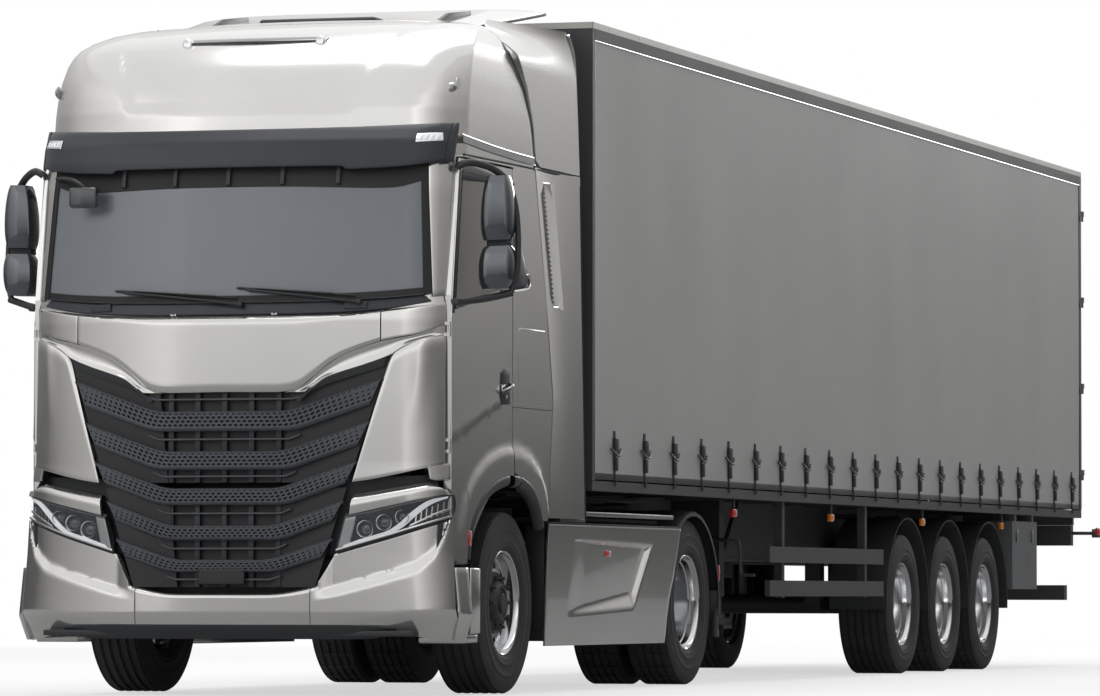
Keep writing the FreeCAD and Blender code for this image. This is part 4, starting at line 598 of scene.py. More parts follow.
def tyre(wide, radius, ribs, steps, lug):
    """Tyre about the X axis through the origin: bead, sidewall with rings, shoulder and a
    tread of ribs, each cut across at every lug-th step into blocks."""
    half = wide / 2
    side = [(-0.80 * half, 0.291), (-0.84 * half, 0.302), (-0.97 * half, 0.325), (-half + 0.001, 0.352),
            (-half - 0.001, 0.356), (-half + 0.001, 0.360), (-1.0 * half, radius - 0.110),
            (-half - 0.002, radius - 0.104), (-half + 0.001, radius - 0.098), (-0.99 * half, radius - 0.075),
            (-0.965 * half, radius - 0.045), (-0.93 * half, radius - 0.022), (-0.885 * half, radius - 0.010)]
    tread = []
    span = 0.86 * half
    for index in range(ribs):
        low = -span + 2 * span * index / ribs + 0.005
        high = -span + 2 * span * (index + 1) / ribs - 0.005
        tread += [(low, radius - 0.012), (low + 0.0015, radius - 0.004), (high - 0.0015, radius - 0.004),
                  (high, radius - 0.012)]
    profile = side + tread + [(-a, r) for a, r in reversed(side)]
    made = turned(profile, (0, 0, 0), "x", steps)
    edit(made)
    bpy.ops.mesh.select_all(action="DESELECT")
    leave()
    for face in made.data.polygons:
        out = math.hypot(face.center.y, face.center.z)
        turn = (math.degrees(math.atan2(face.center.z, face.center.y)) % 360) / (360 / steps)
        face.select = out > radius - 0.006 and abs(face.normal.x) < 0.3 and int(turn) % lug != 0
    bpy.ops.object.mode_set(mode="EDIT")
    bpy.ops.mesh.select_mode(type="FACE")
    bpy.ops.mesh.extrude_region_shrink_fatten(TRANSFORM_OT_shrink_fatten={"value": -0.004})
    leave()
    return coat(made, RUBBER)


BOLTS = 10


def bolt_spots(reach, start=0.0):
    """The (y, z) places of the bolts round a wheel, from a first angle in degrees."""
    turns = [math.radians(start + 360 * index / BOLTS) for index in range(BOLTS)]
    return [(math.cos(turn) * reach, math.sin(turn) * reach) for turn in turns]


def bolt_ring(reach, low, high, radius):
    made = []
    for spot in bolt_spots(reach):
        nut = rod((low, *spot), (high, *spot), radius, 6, 0.002)
        stud = rod((high - 0.004, *spot), (high + 0.014, *spot), radius * 0.5, 10, 0.0015)
        made += [nut, stud]
    return joined(made)


def drilled(disc, reach, radius, low, high):
    """A disc with its hand holes, each midway between two bolts."""
    cutter = joined([rod((low, *spot), (high, *spot), radius, 20) for spot in bolt_spots(reach, 18.0)])
    modify(disc, "BOOLEAN", object=cutter, operation="DIFFERENCE", solver="EXACT")
    bpy.data.objects.remove(cutter)
    return disc


def steer_rim(wide):
    half = 0.4 * wide
    barrel = turned([
        (half + 0.008, 0.303), (half + 0.012, 0.297), (half + 0.008, 0.289), (half - 0.012, 0.283),
        (half - 0.020, 0.276), (0.062, 0.272), (0.056, 0.262), (0.066, 0.248), (0.078, 0.225), (0.080, 0.200),
        (0.076, 0.176), (0.066, 0.170), (0.046, 0.172), (0.046, 0.235), (0.030, 0.262), (-half + 0.02, 0.268),
        (-half - 0.004, 0.288), (-half - 0.010, 0.300), (-half - 0.002, 0.304), (-half + 0.004, 0.294),
        (half - 0.004, 0.294), (half + 0.002, 0.304), (half + 0.008, 0.303)],
        (0, 0, 0), "x", 64)
    drilled(barrel, 0.222, 0.026, 0.02, 0.11)
    coat(barrel, ALLOY)
    ring = turned([(0.060, 0.178), (0.090, 0.178), (0.098, 0.172), (0.100, 0.150), (0.094, 0.128), (0.120, 0.112),
                   (0.128, 0.104), (0.128, 0.085), (0.118, 0.082), (0.112, 0.070), (0.118, 0.058), (0.136, 0.054),
                   (0.140, 0.048), (0.140, 0.0)], (0, 0, 0), "x", 48)
    nuts = bolt_ring(0.146, 0.092, 0.116, 0.017)
    hub = coat(joined(ring, nuts), BLACK_PLASTIC)
    return joined(barrel, hub)


def deep_rim(low, high, disc, hub_end):
    """A dished rim: the disc sits far in and the hub reaches out of it."""
    barrel = turned([
        (high + 0.008, 0.303), (high + 0.012, 0.297), (high + 0.008, 0.289), (high - 0.010, 0.282),
        (high - 0.018, 0.274), (high - 0.050, 0.270), (high - 0.056, 0.262), (disc + 0.060, 0.254),
        (disc + 0.034, 0.244), (disc + 0.012, 0.222), (disc + 0.004, 0.200), (disc + 0.004, 0.112),
        (disc - 0.016, 0.112), (disc - 0.016, 0.224), (disc + 0.010, 0.252), (disc + 0.020, 0.268), (low + 0.02, 0.270),
        (low - 0.004, 0.288), (low - 0.010, 0.300), (low - 0.002, 0.304), (low + 0.004, 0.294), (high - 0.004, 0.294),
        (high + 0.002, 0.304), (high + 0.008, 0.303)], (0, 0, 0), "x", 64)
    drilled(barrel, 0.212, 0.027, disc - 0.05, disc + 0.05)
    coat(barrel, ALLOY)
    hub = turned([(disc - 0.02, 0.118), (disc + 0.020, 0.118), (disc + 0.030, 0.110), (hub_end - 0.03, 0.098),
                  (hub_end - 0.022, 0.088), (hub_end - 0.008, 0.084), (hub_end, 0.070), (hub_end, 0.0)],
                  (0, 0, 0), "x", 40)
    coat(hub, CHASSIS)
    nuts = coat(bolt_ring(0.1675, disc, disc + 0.030, 0.016), CHROME)
    return joined(barrel, hub, nuts)


def wheel_set(pattern, label, body, name):
    """Copies of a wheel on both sides of the lorry, outer face outwards."""
    low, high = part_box(label)
    centre = (low + high) / 2
    right = centre.x < 0
    made = copied(pattern, flip=right)
    centre.x = wheel_middle[label]
    settle(made, name, body, origin=centre, angle=32, replaces=(label,))
    return made


joint_spot = {j["child"]: Vector(j["pos_m"]) for j in frame["joints"]}
wheel_middle = {label: joint_spot[node_body[label]].x
                for label in node_body if label.startswith(("front_wheel", "drive_wheels", "trailer_wheel"))}

# The tyres' widths, their radii, and how far each twin stands from the pair's middle.
STEER_WIDE, TWIN_WIDE, TRAILING_WIDE = 0.315, 0.295, 0.385
TRACTOR_RADIUS, TRAILING_RADIUS, TWIN_APART = 0.525, 0.505, 0.175

steer_wheel = joined(tyre(STEER_WIDE, TRACTOR_RADIUS, 5, 96, 4), steer_rim(STEER_WIDE))
outer = tyre(TWIN_WIDE, TRACTOR_RADIUS, 5, 84, 3)
inner = copied(outer, move=(-TWIN_APART, 0, 0))
outer.data.transform(Matrix.Translation((TWIN_APART, 0, 0)))
drive_wheel = joined(outer, inner, deep_rim(-TWIN_APART - 0.118, TWIN_APART + 0.118, -0.01, 0.10))
trailing_wheel = joined(tyre(TRAILING_WIDE, TRAILING_RADIUS, 6, 96, 5), deep_rim(-0.154, 0.154, -0.008, 0.09))
for side in ("left", "right"):
    wheel_set(steer_wheel, "front_wheel_" + side, side + "_front_wheel", "steer_wheel_" + side)
    wheel_set(drive_wheel, "drive_wheels_" + side, side + "_drive_wheels", "twin_wheels_" + side)
    for index in (1, 2, 3):
        wheel_set(trailing_wheel, "trailer_wheel_%s_%d" % (side, index), "%s_trailer_wheel_%d" % (side, index),
                  "trailing_wheel_%s_%d" % (side, index))
for pattern in (steer_wheel, drive_wheel, trailing_wheel):
    bpy.data.objects.remove(pattern)

# Front of the cab ---------------------------------------
# One curved face that every front panel lies on.

# Where the face stands along the lorry and how wide it is to a side, by height.
NOSE = ((0.30, -1.445), (0.40, -1.478), (0.47, -1.488), (1.20, -1.486), (1.70, -1.482), (2.10, -1.478),
        (2.20, -1.468), (2.84, -1.392), (3.04, -1.352))
HALF = ((0.30, 1.30), (0.45, 1.345), (0.60, 1.33), (0.80, 1.31), (1.00, 1.30), (1.15, 1.285), (1.30, 1.262),
        (2.20, 1.25), (3.04, 1.235))


def swept(nose, share, corner=0.14):
    """A face's place along the lorry at a share of its half width: a slow bow back, then a quick corner."""
    return nose + 0.20 * share ** 2.6 + corner * share ** 16


def front(x, z, sink=0.0):
    """A point of the front at a width and height, sunk behind the face."""
    return (x, swept(blend_between(NOSE, z), min(abs(x) / blend_between(HALF, z), 1.0)) + sink, z)


def grille_half(z):
    """Half the opening's width at a height."""
    return 0.540 + 0.318 * (z - 0.6)


def along(line, share):
    """The point a share of the way along a bent line."""
    lengths = [math.dist(a, b) for a, b in zip(line, line[1:])]
    reach = share * sum(lengths)
    for (a, b), length in zip(zip(line, line[1:]), lengths):
        if reach <= length or b is line[-1]:
            part = min(reach / length, 1.0)
            return tuple(p + (q - p) * part for p, q in zip(a, b))
        reach -= length
    return line[-1]


def eased(line, count):
    """A bent line made smooth: count points of a curve drawn through its corners."""
    ends = [line[0]] + list(line) + [line[-1]]
    made = []
    pieces = len(line) - 1
    for index in range(count):
        place = index / (count - 1) * pieces
        leg = min(int(place), pieces - 1)
        t = place - leg
        a, b, c, d = ends[leg:leg + 4]
        made.append(tuple(0.5 * (2 * q + (r - p) * t + (2 * p - 5 * q + 4 * r - s) * t * t
                                 + (3 * q - p - 3 * r + s) * t ** 3)
                          for p, q, r, s in zip(a, b, c, d)))
    return made


def front_sheet(low, high, across_count, up_count, sink=0.0, relief=None, wall=0.018, edge=0.006, smooth_lines=True):
    """A panel of the front between a lower and an upper line of (x, z)."""
    if smooth_lines:
        low, high = eased(low, across_count), eased(high, across_count)
    else:
        low = [along(low, i / (across_count - 1)) for i in range(across_count)]
        high = [along(high, i / (across_count - 1)) for i in range(across_count)]
    rows = []
    for up in range(up_count):
        t = up / (up_count - 1)
        row = []
        for (xa, za), (xb, zb) in zip(low, high):
            x, z = xa + (xb - xa) * t, za + (zb - za) * t
            row.append(front(x, z, sink + (relief(x, z, t) if relief else 0.0)))
        rows.append(row)
    made = closed_sheet(rows, wall)
    return soften(made, edge, 3, 40) if edge else made


def both_ends(half):
    """A line from the right side to the left from its left half, middle first."""
    return [(-x, z) for x, z in reversed(half) if x > 0] + list(half)


def wide_sheet(low, high, *settings, **more):
    """A panel of the front across the middle, from the left halves of its two lines."""
    return front_sheet(both_ends(low), both_ends(high), *settings, **more)


# The flap: flat foot, wings that sweep up and a rolled upper lip. Lines are (x, z) from the middle out.
FLAP_FOOT = [(0.0, 1.700), (0.20, 1.698), (0.357, 1.700), (0.45, 1.725), (0.53, 1.785), (0.634, 1.868), (0.751, 1.927),
             (0.900, 1.980)]
FLAP_HEAD = [(0.0, 2.128), (0.20, 2.128), (0.357, 2.128), (0.45, 2.129), (0.53, 2.130), (0.634, 2.133), (0.751, 2.139),
             (0.900, 2.152)]


def flap_relief(x, z, t):
    roll = max(0.0, (t - 0.90) / 0.10)
    tuck = max(0.0, (0.08 - t) / 0.08)
    return 0.030 * roll ** 2 + 0.012 * tuck ** 2 + 0.004


flap = wide_sheet(FLAP_FOOT, FLAP_HEAD, 73, 25, 0.0, flap_relief, 0.016, 0.004)
settle(coat(flap, PAINT), "front_flap_panel", "front_flap", replaces=("hood",))

# Outer ends of the flap's line, fixed to the cab, and the fold beneath it.
wing_foot = [(0.906, 1.982), (0.98, 1.998), (1.08, 2.018), (1.16, 2.043), (1.222, 2.075)]
wing_head = [(0.906, 2.153), (0.98, 2.162), (1.08, 2.178), (1.16, 2.192), (1.222, 2.205)]
wing = front_sheet(wing_foot, wing_head, 15, 13, 0.0,
                   lambda x, z, t: 0.030 * max(0.0, (t - 0.90) / 0.10) ** 2 + 0.004, 0.016, 0.004)
fold_low = [(0.480, 1.700), (0.540, 1.742), (0.600, 1.782), (0.700, 1.815), (0.820, 1.852), (0.945, 1.900),
            (1.030, 1.955), (1.120, 1.992), (1.222, 2.020)]
fold_high = [(0.362, 1.694), (0.47, 1.735), (0.54, 1.793), (0.645, 1.874), (0.76, 1.932), (0.905, 1.978), (0.98, 1.994),
             (1.08, 2.014), (1.222, 2.070)]
fold = front_sheet(fold_low, fold_high, 41, 11, 0.010, lambda x, z, t: 0.011 * math.sin(math.pi * t) + 0.012 * t,
                   0.012, 0.003)
trim = [coat(piece, PAINT) for piece in (wing, fold)]

# Corner panels: a crisp inner flange, a soft crease and a flank that turns to the door.
corner_low = [(0.752, 1.196), (0.86, 1.212), (0.98, 1.236), (1.10, 1.264), (1.17, 1.280), (1.222, 1.293)]
corner_high = [(0.950, 1.898), (1.030, 1.950), (1.100, 1.983), (1.150, 1.999), (1.190, 2.008), (1.222, 2.015)]


def corner_relief(x, z, t):
    lip = max(0.0, 1 - (abs(x) - grille_half(z)) / 0.028)
    crease = math.exp(-((abs(x) - 1.13 + 0.05 * (2.0 - z)) / 0.045) ** 2) * clamped((z - 1.50) / 0.35)
    return 0.016 * lip ** 2 - 0.012 * crease + 0.010 * max(0.0, (t - 0.93) / 0.07) ** 2


corner = front_sheet(corner_low, corner_high, 41, 33, 0.002, corner_relief, 0.020, 0.006)
trim.append(coat(corner, PAINT))
foot = front_sheet([(1.164, 1.214), (1.200, 1.206), (1.243, 1.212)], [(1.150, 1.292), (1.200, 1.298), (1.243, 1.300)],
                   9, 9, 0.002, None, 0.018, 0.003)
trim.append(coat(foot, PAINT))
half = joined(trim)
settle(both_sides(half), "corner_panels_skin", "cab", replaces=("corner_panels",))

# Dark strip under the windscreen with its two flush covers.
COWL_FOOT = [(0.0, 2.134), (0.35, 2.134), (0.60, 2.139), (0.78, 2.148), (0.92, 2.160), (1.06, 2.182), (1.16, 2.200),
             (1.205, 2.210)]
COWL_HEAD = [(0.0, 2.205), (0.35, 2.206), (0.60, 2.209), (0.78, 2.215), (0.92, 2.224), (1.06, 2.236), (1.16, 2.250),
             (1.205, 2.262)]
cowl = coat(wide_sheet(COWL_FOOT, COWL_HEAD, 61, 7, 0.016, lambda x, z, t: 0.006 + 0.012 * t, 0.020, 0.004), SMOKED)
lids = []
for side in (-1, 1):
    lid = front_sheet([(side * 0.76 - 0.065, 2.158), (side * 0.76 + 0.065, 2.162)],
                      [(side * 0.76 - 0.062, 2.200), (side * 0.76 + 0.062, 2.204)], 5, 5, 0.016, None, 0.008, 0.003)
    lids.append(coat(lid, BLACK_PLASTIC))
settle(joined(cowl, lids), "cowl_strip", "cab", replaces=("cowl",))

# Grille ---------------------------------------------------

BAR_ROWS = 4
HOLE_SIZE, HOLE_DEPTH, SMALLEST_HOLE = 0.36, 0.014, 0.12


def mesh_strip(low, high, cells, sink):
    """A strip of blind hexagonal holes between two lines, rows staggered, smaller to the ends. Each hole's floor takes
    the dark chassis finish as painted shade, in place of the dark seen through a pierced hole.
    """
    points, faces = [], []

    def spot(u, t, depth):
        a, b = along(low, u), along(high, u)
        return front(a[0] + (b[0] - a[0]) * t, a[1] + (b[1] - a[1]) * t, sink + depth)

    def put(u, t, depth):
        points.append(spot(u, t, depth))
        return len(points) - 1

    dark = []
    for row in range(BAR_ROWS):
        t0, t1 = row / BAR_ROWS, (row + 1) / BAR_ROWS
        shift = 0.5 / cells * (row % 2)
        for cell in range(cells + (row % 2)):
            u0, u1 = max(cell / cells - shift, 0.0), min((cell + 1) / cells - shift, 1.0)
            whole = u1 - u0 > 0.9 / cells
            middle_u, middle_t = (u0 + u1) / 2, (t0 + t1) / 2
            corners = [put(u0, t0, 0), put(u1, t0, 0), put(u1, t1, 0), put(u0, t1, 0)]
            fade = 0.75 * max(0.0, (abs(middle_u - 0.5) - 0.30) / 0.2) * (0.35 + 0.65 * row / (BAR_ROWS - 1))
            size = HOLE_SIZE * (1.0 - fade)
            if not whole or size < SMALLEST_HOLE:
                faces.append(corners)
                continue
            ring, foot = [], []
            for step in range(6):
                turn = math.radians(60 * step + 30)
                du, dt = math.cos(turn) * size * 1.08 * (u1 - u0), math.sin(turn) * size * (t1 - t0)
                ring.append(put(middle_u + du, middle_t + dt, 0.0))
                foot.append(put(middle_u + du * 0.86, middle_t + dt * 0.86, HOLE_DEPTH))
            # The ring's corners stand at 30, 90, 150, 210, 270 and 330 degrees.
            a, b, c, d = corners
            faces += [(a, b, ring[5], ring[4], ring[3]), (b, c, ring[0], ring[5]), (c, d, ring[2], ring[1], ring[0]),
                      (d, a, ring[3], ring[2])]
            for step in range(6):
                other = (step + 1) % 6
                faces.append((ring[step], ring[other], foot[other], foot[step]))
            # The hole's floor: painted shade, dark in place of the view through a pierced hole.
            dark.append(len(faces))
            faces.append(tuple(foot))
    made = drawn("mesh_strip", points, [], faces)
    made.data.materials.append(GRILLE_PLASTIC)
    made.data.materials.append(CHASSIS)
    for index in dark:
        made.data.polygons[index].material_index = 1
    return made


# Each bar: top and foot of its level middle, half its width, half the reach, the wing's rise,
# the height at the tip, and its cells.
BARS = (
    (1.590, 1.502, 0.405, 0.905, 0.178, 0.118, 54),
    (1.367, 1.285, 0.375, 0.840, 0.165, 0.108, 50),
    (1.160, 1.086, 0.350, 0.772, 0.150, 0.100, 46),
    (0.953, 0.888, 0.325, 0.700, 0.140, 0.094, 42),
    (0.763, 0.708, 0.300, 0.640, 0.120, 0.086, 38),
)


def bar_line(bar, drop):
    """The line a share of the way down a bar: 0 is its top edge and 1 its foot."""
    top, foot, inner, outer, rise, tip, cells = bar
    level = top + (foot - top) * drop
    outer_level = top + rise - tip * drop
    turn = inner + 0.03 * drop
    return both_ends([(0.0, level), (turn - 0.05, level), (turn + 0.02, level + 0.012),
                      (outer - 0.05 * drop, outer_level)])


def bar_pieces(bar):
    """One bar of the grille: its face of blind holes with shade-painted floors, its two rims and the shelf behind its
    top.
    """
    mesh = mesh_strip(bar_line(bar, 0.98), bar_line(bar, 0.0), bar[6], 0.006)
    rim_low = front_sheet(bar_line(bar, 1.24), bar_line(bar, 0.97), 61, 5, 0.0,
                          lambda x, z, t: 0.020 * (1 - t) ** 2 + 0.003, 0.016, 0.003, smooth_lines=False)
    rim_top = front_sheet(bar_line(bar, 0.03), bar_line(bar, -0.04), 61, 3, 0.0,
                          lambda x, z, t: 0.004 + 0.010 * t, 0.016, 0.002, smooth_lines=False)
    roof = front_sheet(bar_line(bar, -0.02), bar_line(bar, 0.02), 61, 3, 0.05, None, 0.045, 0.0, smooth_lines=False)
    return joined(mesh, coat(rim_low, GRILLE_PLASTIC), coat(rim_top, GRILLE_PLASTIC), coat(roof, BLACK_PLASTIC))


def grille_back(low, high):
    """The dark bed behind the bars: solid shoulders and a slatted opening between them."""
    made = []
    levels = spread(low, high, 17)
    for side in (-1, 1):
        rows = []
        for z in levels:
            inner, outer = 0.405 - 0.1 * (1.9 - z), grille_half(z) - 0.006
            rows.append([front(side * (inner + (outer - inner) * i / 10),
                               z, 0.034 + 0.02 * math.cos(i / 10 * math.pi / 2)) for i in range(11)])
        made.append(closed_sheet(rows, 0.012))
    rows = [[front(x * 0.05, z, 0.076) for x in range(-9, 10)] for z in levels]
    made.append(closed_sheet(rows, 0.008))
    bed = coat(joined(made), CHASSIS)
    slats = []
    for x in (-0.32, -0.16, 0.0, 0.16, 0.32):
        slats.append(plate([(front(x, low)[1] + 0.046, low), (front(x, high)[1] + 0.046, high),
                            (front(x, high)[1] + 0.078, high), (front(x, low)[1] + 0.078, low)],
                            "x", x - 0.016, x + 0.016, 0.004))
    return joined(bed, coat(joined(slats), BLACK_PLASTIC))


def blade(level, inner, rise):
    """A thin bright-edged vane between two bars."""
    line = both_ends([(0.0, level), (inner - 0.02, level), (inner + 0.04, level + rise)])
    lifted = [(x, z + 0.010) for x, z in line]
    return coat(front_sheet(line, lifted, 41, 3, 0.030, None, 0.050, 0.002, smooth_lines=False), GRILLE_PLASTIC)


upper = [grille_back(1.195, 1.885), bar_pieces(BARS[0]), bar_pieces(BARS[1]), bar_pieces(BARS[2]),
         blade(1.655, 0.43, 0.02), blade(1.432, 0.41, 0.025), blade(1.225, 0.385, 0.025)]
brow_line_low = [(0.440, 1.640), (0.520, 1.700), (0.60, 1.738), (0.75, 1.785), (0.915, 1.835)]
brow_line_high = [(0.500, 1.688), (0.555, 1.740), (0.62, 1.784), (0.76, 1.832), (0.936, 1.892)]
brow_plate = coat(front_sheet(brow_line_low, brow_line_high, 25, 7, 0.012,
                              lambda x, z, t: 0.012 * (1 - t), 0.02, 0.004), BLACK_PLASTIC)
upper += paired(brow_plate)
upper.append(slab(CHASSIS, (-0.62, -1.205, 1.075), (0.62, -1.197, 1.245), 0.002))
settle(joined(upper), "upper_grille_bars", "cab", replaces=("upper_grille",))

lower = [grille_back(0.612, 1.165), bar_pieces(BARS[3]), bar_pieces(BARS[4]), blade(1.018, 0.36, 0.025),
         blade(0.822, 0.335, 0.025), blade(0.650, 0.30, 0.02)]
plaque = front_sheet([(-0.137, 0.628), (0.137, 0.628)], [(-0.137, 0.716), (0.137, 0.716)],
                     13, 5, 0.0, None, 0.020, 0.005)
lower.append(coat(plaque, CHASSIS))
settle(joined(lower), "lower_grille_bars", "tractor", replaces=("lower_grille",))

# Bumper, lamps and spoiler --------------------------------

RIDGE = ((0.50, 0.525), (0.70, 0.572), (0.90, 0.628), (1.10, 0.690), (1.18, 0.760), (1.225, 0.860), (1.26, 1.00))


def bumper_relief(x, z, t):
    wide = abs(x)
    ridge = blend_between(RIDGE, wide)
    above = clamped((z - ridge) / 0.055) * clamped((wide - 0.52) / 0.12)
    edge = 0.405 + 0.13 * (wide - 0.55)
    below = clamped((edge - z) / 0.10) * clamped((wide - 0.55) / 0.3)
    lip = max(0.0, (t - 0.90) / 0.10) if wide < 0.56 else 0.0
    return 0.034 * above ** 1.5 + 0.030 * below ** 1.3 + 0.022 * lip ** 2 + 0.001


middle_low = [(x, 0.403) for x in (0.0, 0.20, 0.40, 0.518)]
middle_high = [(0.0, 0.576), (0.28, 0.576), (0.40, 0.588), (0.518, 0.611)]
middle = wide_sheet(middle_low, middle_high, 41, 21, 0.0, bumper_relief, 0.030, 0.004)
side_low = [(0.522, 0.403), (0.75, 0.403), (0.93, 0.396), (1.02, 0.362), (1.14, 0.328), (1.24, 0.312), (1.305, 0.312)]
side_high = [(0.522, 0.612), (0.555, 0.628), (0.600, 0.700), (0.640, 0.776), (0.665, 0.802), (0.82, 0.848),
             (1.00, 0.905), (1.18, 0.962), (1.262, 0.990)]
side = front_sheet(side_low, side_high, 61, 37, 0.0, bumper_relief, 0.030, 0.004)


def bumper_flank():
    """The part that wraps round to the wheel, under the door."""
    rows = []
    for level in range(13):
        z = 0.312 + (0.722 - 0.312) * level / 12
        half = blend_between(HALF, z)
        row = []
        for step in range(13):
            share = step / 12
            start = front(0.972 * half, z, 0.001)
            bow = half + 0.004 * math.sin(math.pi * share)
            row.append((start[0] + (bow - start[0]) * min(1.0, share * 2.2) ** 0.7,
                        start[1] + (-1.078 - start[1]) * share, z))
        rows.append(row)
    made = closed_sheet(rows, 0.025)
    return soften(made, 0.004, 2, 40)


silver = [coat(piece, PAINT) for piece in [middle] + paired(side) + paired(bumper_flank())]

# Silver shoulder between the black slot and each lamp, and the black shelf behind it.
brow_low = [(0.738, 1.014), (0.85, 1.040), (1.00, 1.074), (1.15, 1.108), (1.18, 1.116), (1.262, 1.136)]
brow_high = [(0.752, 1.128), (0.85, 1.142), (1.00, 1.168), (1.13, 1.192), (1.165, 1.190), (1.246, 1.184)]
brow = front_sheet(brow_low, brow_high, 31, 11, -0.002,
                   lambda x, z, t: 0.045 * max(0.0, (t - 0.45) / 0.55) ** 2 + 0.006 * (1 - t), 0.020, 0.005)
shelf = front_sheet([(0.760, 1.118), (1.00, 1.160), (1.235, 1.176)], [(0.765, 1.128), (1.00, 1.172), (1.235, 1.184)],
                    21, 3, 0.050, None, 0.09, 0.003)
silver += [coat(piece, PAINT) for piece in paired(brow)] + [coat(piece, BLACK_PLASTIC) for piece in paired(shelf)]

spoiler_low = [(0.0, 0.322), (0.50, 0.322), (0.80, 0.324), (0.93, 0.340)]
spoiler_high = [(0.0, 0.400), (0.50, 0.400), (0.80, 0.400), (0.99, 0.385)]
spoiler = wide_sheet(spoiler_low, spoiler_high, 61, 9, 0.004, lambda x, z, t: 0.035 * (1 - t) ** 1.5, 0.05, 0.006)
under = block((-1.10, -1.40, 0.340), (1.10, -1.22, 0.372), 0.006)
# A proud black strip under each lamp's outer end, where the bumper has a thin slit: painted shade for the slit.
slit_shade_strip = front_sheet([(1.196, 0.800), (1.212, 0.790)], [(1.204, 0.962), (1.228, 0.980)], 5, 13, 0.020, None, 0.04, 0.002)
beam = block((-1.00, -1.34, 0.50), (1.00, -1.27, 0.76), 0.008)
backing = front_sheet([(0.600, 0.790), (0.90, 0.86), (1.20, 0.96)], [(0.600, 1.215), (0.90, 1.225), (1.20, 1.24)],
                      25, 5, 0.105, None, 0.006, 0.0)
dark = [coat(piece, BLACK_PLASTIC)
        for piece in [spoiler, under] + paired(slit_shade_strip) + paired(backing)] + [coat(beam, CHASSIS)]
bumper = joined(silver + dark)
# The bumper's top ends stay within this reach of the cab's tilt axis, so that the cab turns past them.
TILT_Y, TILT_Z, TILT_REACH = -1.37, 1.05, 0.166
for vertex in bumper.data.vertices:
    if vertex.co.z > 0.733 and vertex.co.y > -1.206:
        vertex.co.y = -1.206
    far = math.hypot(vertex.co.y - TILT_Y, vertex.co.z - TILT_Z)
    if abs(vertex.co.x) > 1.185 and vertex.co.z > TILT_Z and vertex.co.y > TILT_Y and far > TILT_REACH:
        vertex.co.y = TILT_Y + (vertex.co.y - TILT_Y) * TILT_REACH / far
        vertex.co.z = TILT_Z + (vertex.co.z - TILT_Z) * TILT_REACH / far
settle(bumper, "front_bumper_skin", "tractor", replaces=("front_bumper",))

# Headlamps: a dark bowl, three projector barrels, a white light guide and a clear cover.
LAMP_LOW = [(0.664, 0.812), (0.80, 0.852), (0.95, 0.896), (1.08, 0.938), (1.19, 0.975), (1.262, 1.000)]
LAMP_HIGH = [(0.712, 1.004), (0.85, 1.034), (0.98, 1.064), (1.10, 1.092), (1.19, 1.114), (1.262, 1.130)]
bowl = coat(front_sheet(LAMP_LOW, LAMP_HIGH, 31, 11, 0.020, lambda x, z, t: 0.050 * math.sin(math.pi * t) ** 0.6, 0.02,
                        0.0), CHASSIS)
rim_low = coat(front_sheet(LAMP_LOW, [(x, z + 0.012) for x, z in LAMP_LOW], 31, 3, 0.004, None, 0.03, 0.002), CHROME)
rim_high = coat(front_sheet([(x, z - 0.009) for x, z in LAMP_HIGH], LAMP_HIGH, 31, 3, 0.004, None, 0.03, 0.002),
                GLOSS_BLACK)
inner_shield = coat(front_sheet([(0.672, 0.822), (0.738, 0.842)], [(0.716, 0.996), (0.776, 1.008)],
                                5, 9, 0.010, None, 0.012, 0.003), BRUSHED)
guide_low = [(0.700, 0.826), (0.82, 0.866), (0.95, 0.902), (1.03, 0.945), (1.10, 1.010), (1.17, 1.070), (1.245, 1.108)]
guide_high = [(0.705, 0.846), (0.82, 0.886), (0.94, 0.922), (1.01, 0.968), (1.08, 1.035), (1.155, 1.092),
              (1.245, 1.124)]
guide = coat(front_sheet(guide_low, guide_high, 41, 5, 0.006, None, 0.014, 0.003), WHITE_LENS)
second_low = [(1.06, 0.945), (1.12, 0.975), (1.18, 1.008), (1.245, 1.035)]
second_high = [(1.07, 0.962), (1.13, 0.992), (1.185, 1.022), (1.245, 1.050)]
second = coat(front_sheet(second_low, second_high, 21, 3, 0.008, None, 0.012, 0.002), CHROME)
fins = []
for step in range(6):
    x = 1.09 + 0.026 * step
    fins.append(coat(front_sheet([(x, 0.965 + 0.4 * (x - 1.09)), (x + 0.006, 0.966 + 0.4 * (x - 1.09))],
                                 [(x + 0.004, 1.022 + 0.5 * (x - 1.09)), (x + 0.010, 1.023 + 0.5 * (x - 1.09))],
                                 3, 5, 0.014, None, 0.02, 0.0), CHROME))
barrels = []
for x, z, size in ((0.822, 0.936, 0.050), (0.925, 0.972, 0.047), (1.022, 1.002, 0.041)):
    spot = front(x, z, 0.012)
    ring = turned([(0.0, size * 0.86), (-0.004, size * 0.94), (0.002, size), (0.030, size * 1.02), (0.052, size * 0.8),
                   (0.054, size * 0.74), (0.010, size * 0.80), (0.0, size * 0.86)], spot, "y", 40)
    ball = turned([(0.012, 0.0), (0.013, size * 0.25), (0.019, size * 0.5), (0.030, size * 0.68), (0.048, size * 0.76)],
                  spot, "y", 32)
    barrels += [coat(ring, CHROME), coat(ball, GLOSS_BLACK)]
cover = coat(front_sheet(LAMP_LOW, LAMP_HIGH, 41, 13, -0.001, lambda x, z, t: 0.002, 0.003, 0.0), LENS)
lamp_one = joined([bowl, rim_low, rim_high, inner_shield, guide, second] + fins + barrels + [cover])
settle(both_sides(lamp_one), "headlamp_units", "tractor", replaces=("headlamps",))

# Windscreen, pillars, visor and high roof -----------------

DOOR_LINE = ((1.30, -1.186), (2.24, -1.186), (3.015, -1.041), (3.04, -1.036))


def pillar_edge(z):
    """Width at which the front meets the door's front edge."""
    low, high = 1.0, 1.2435
    goal = blend_between(DOOR_LINE, z)
    for step in range(24):
        middle = (low + high) / 2
        if front(middle, z)[1] < goal:
            low = middle
        else:
            high = middle
    return low


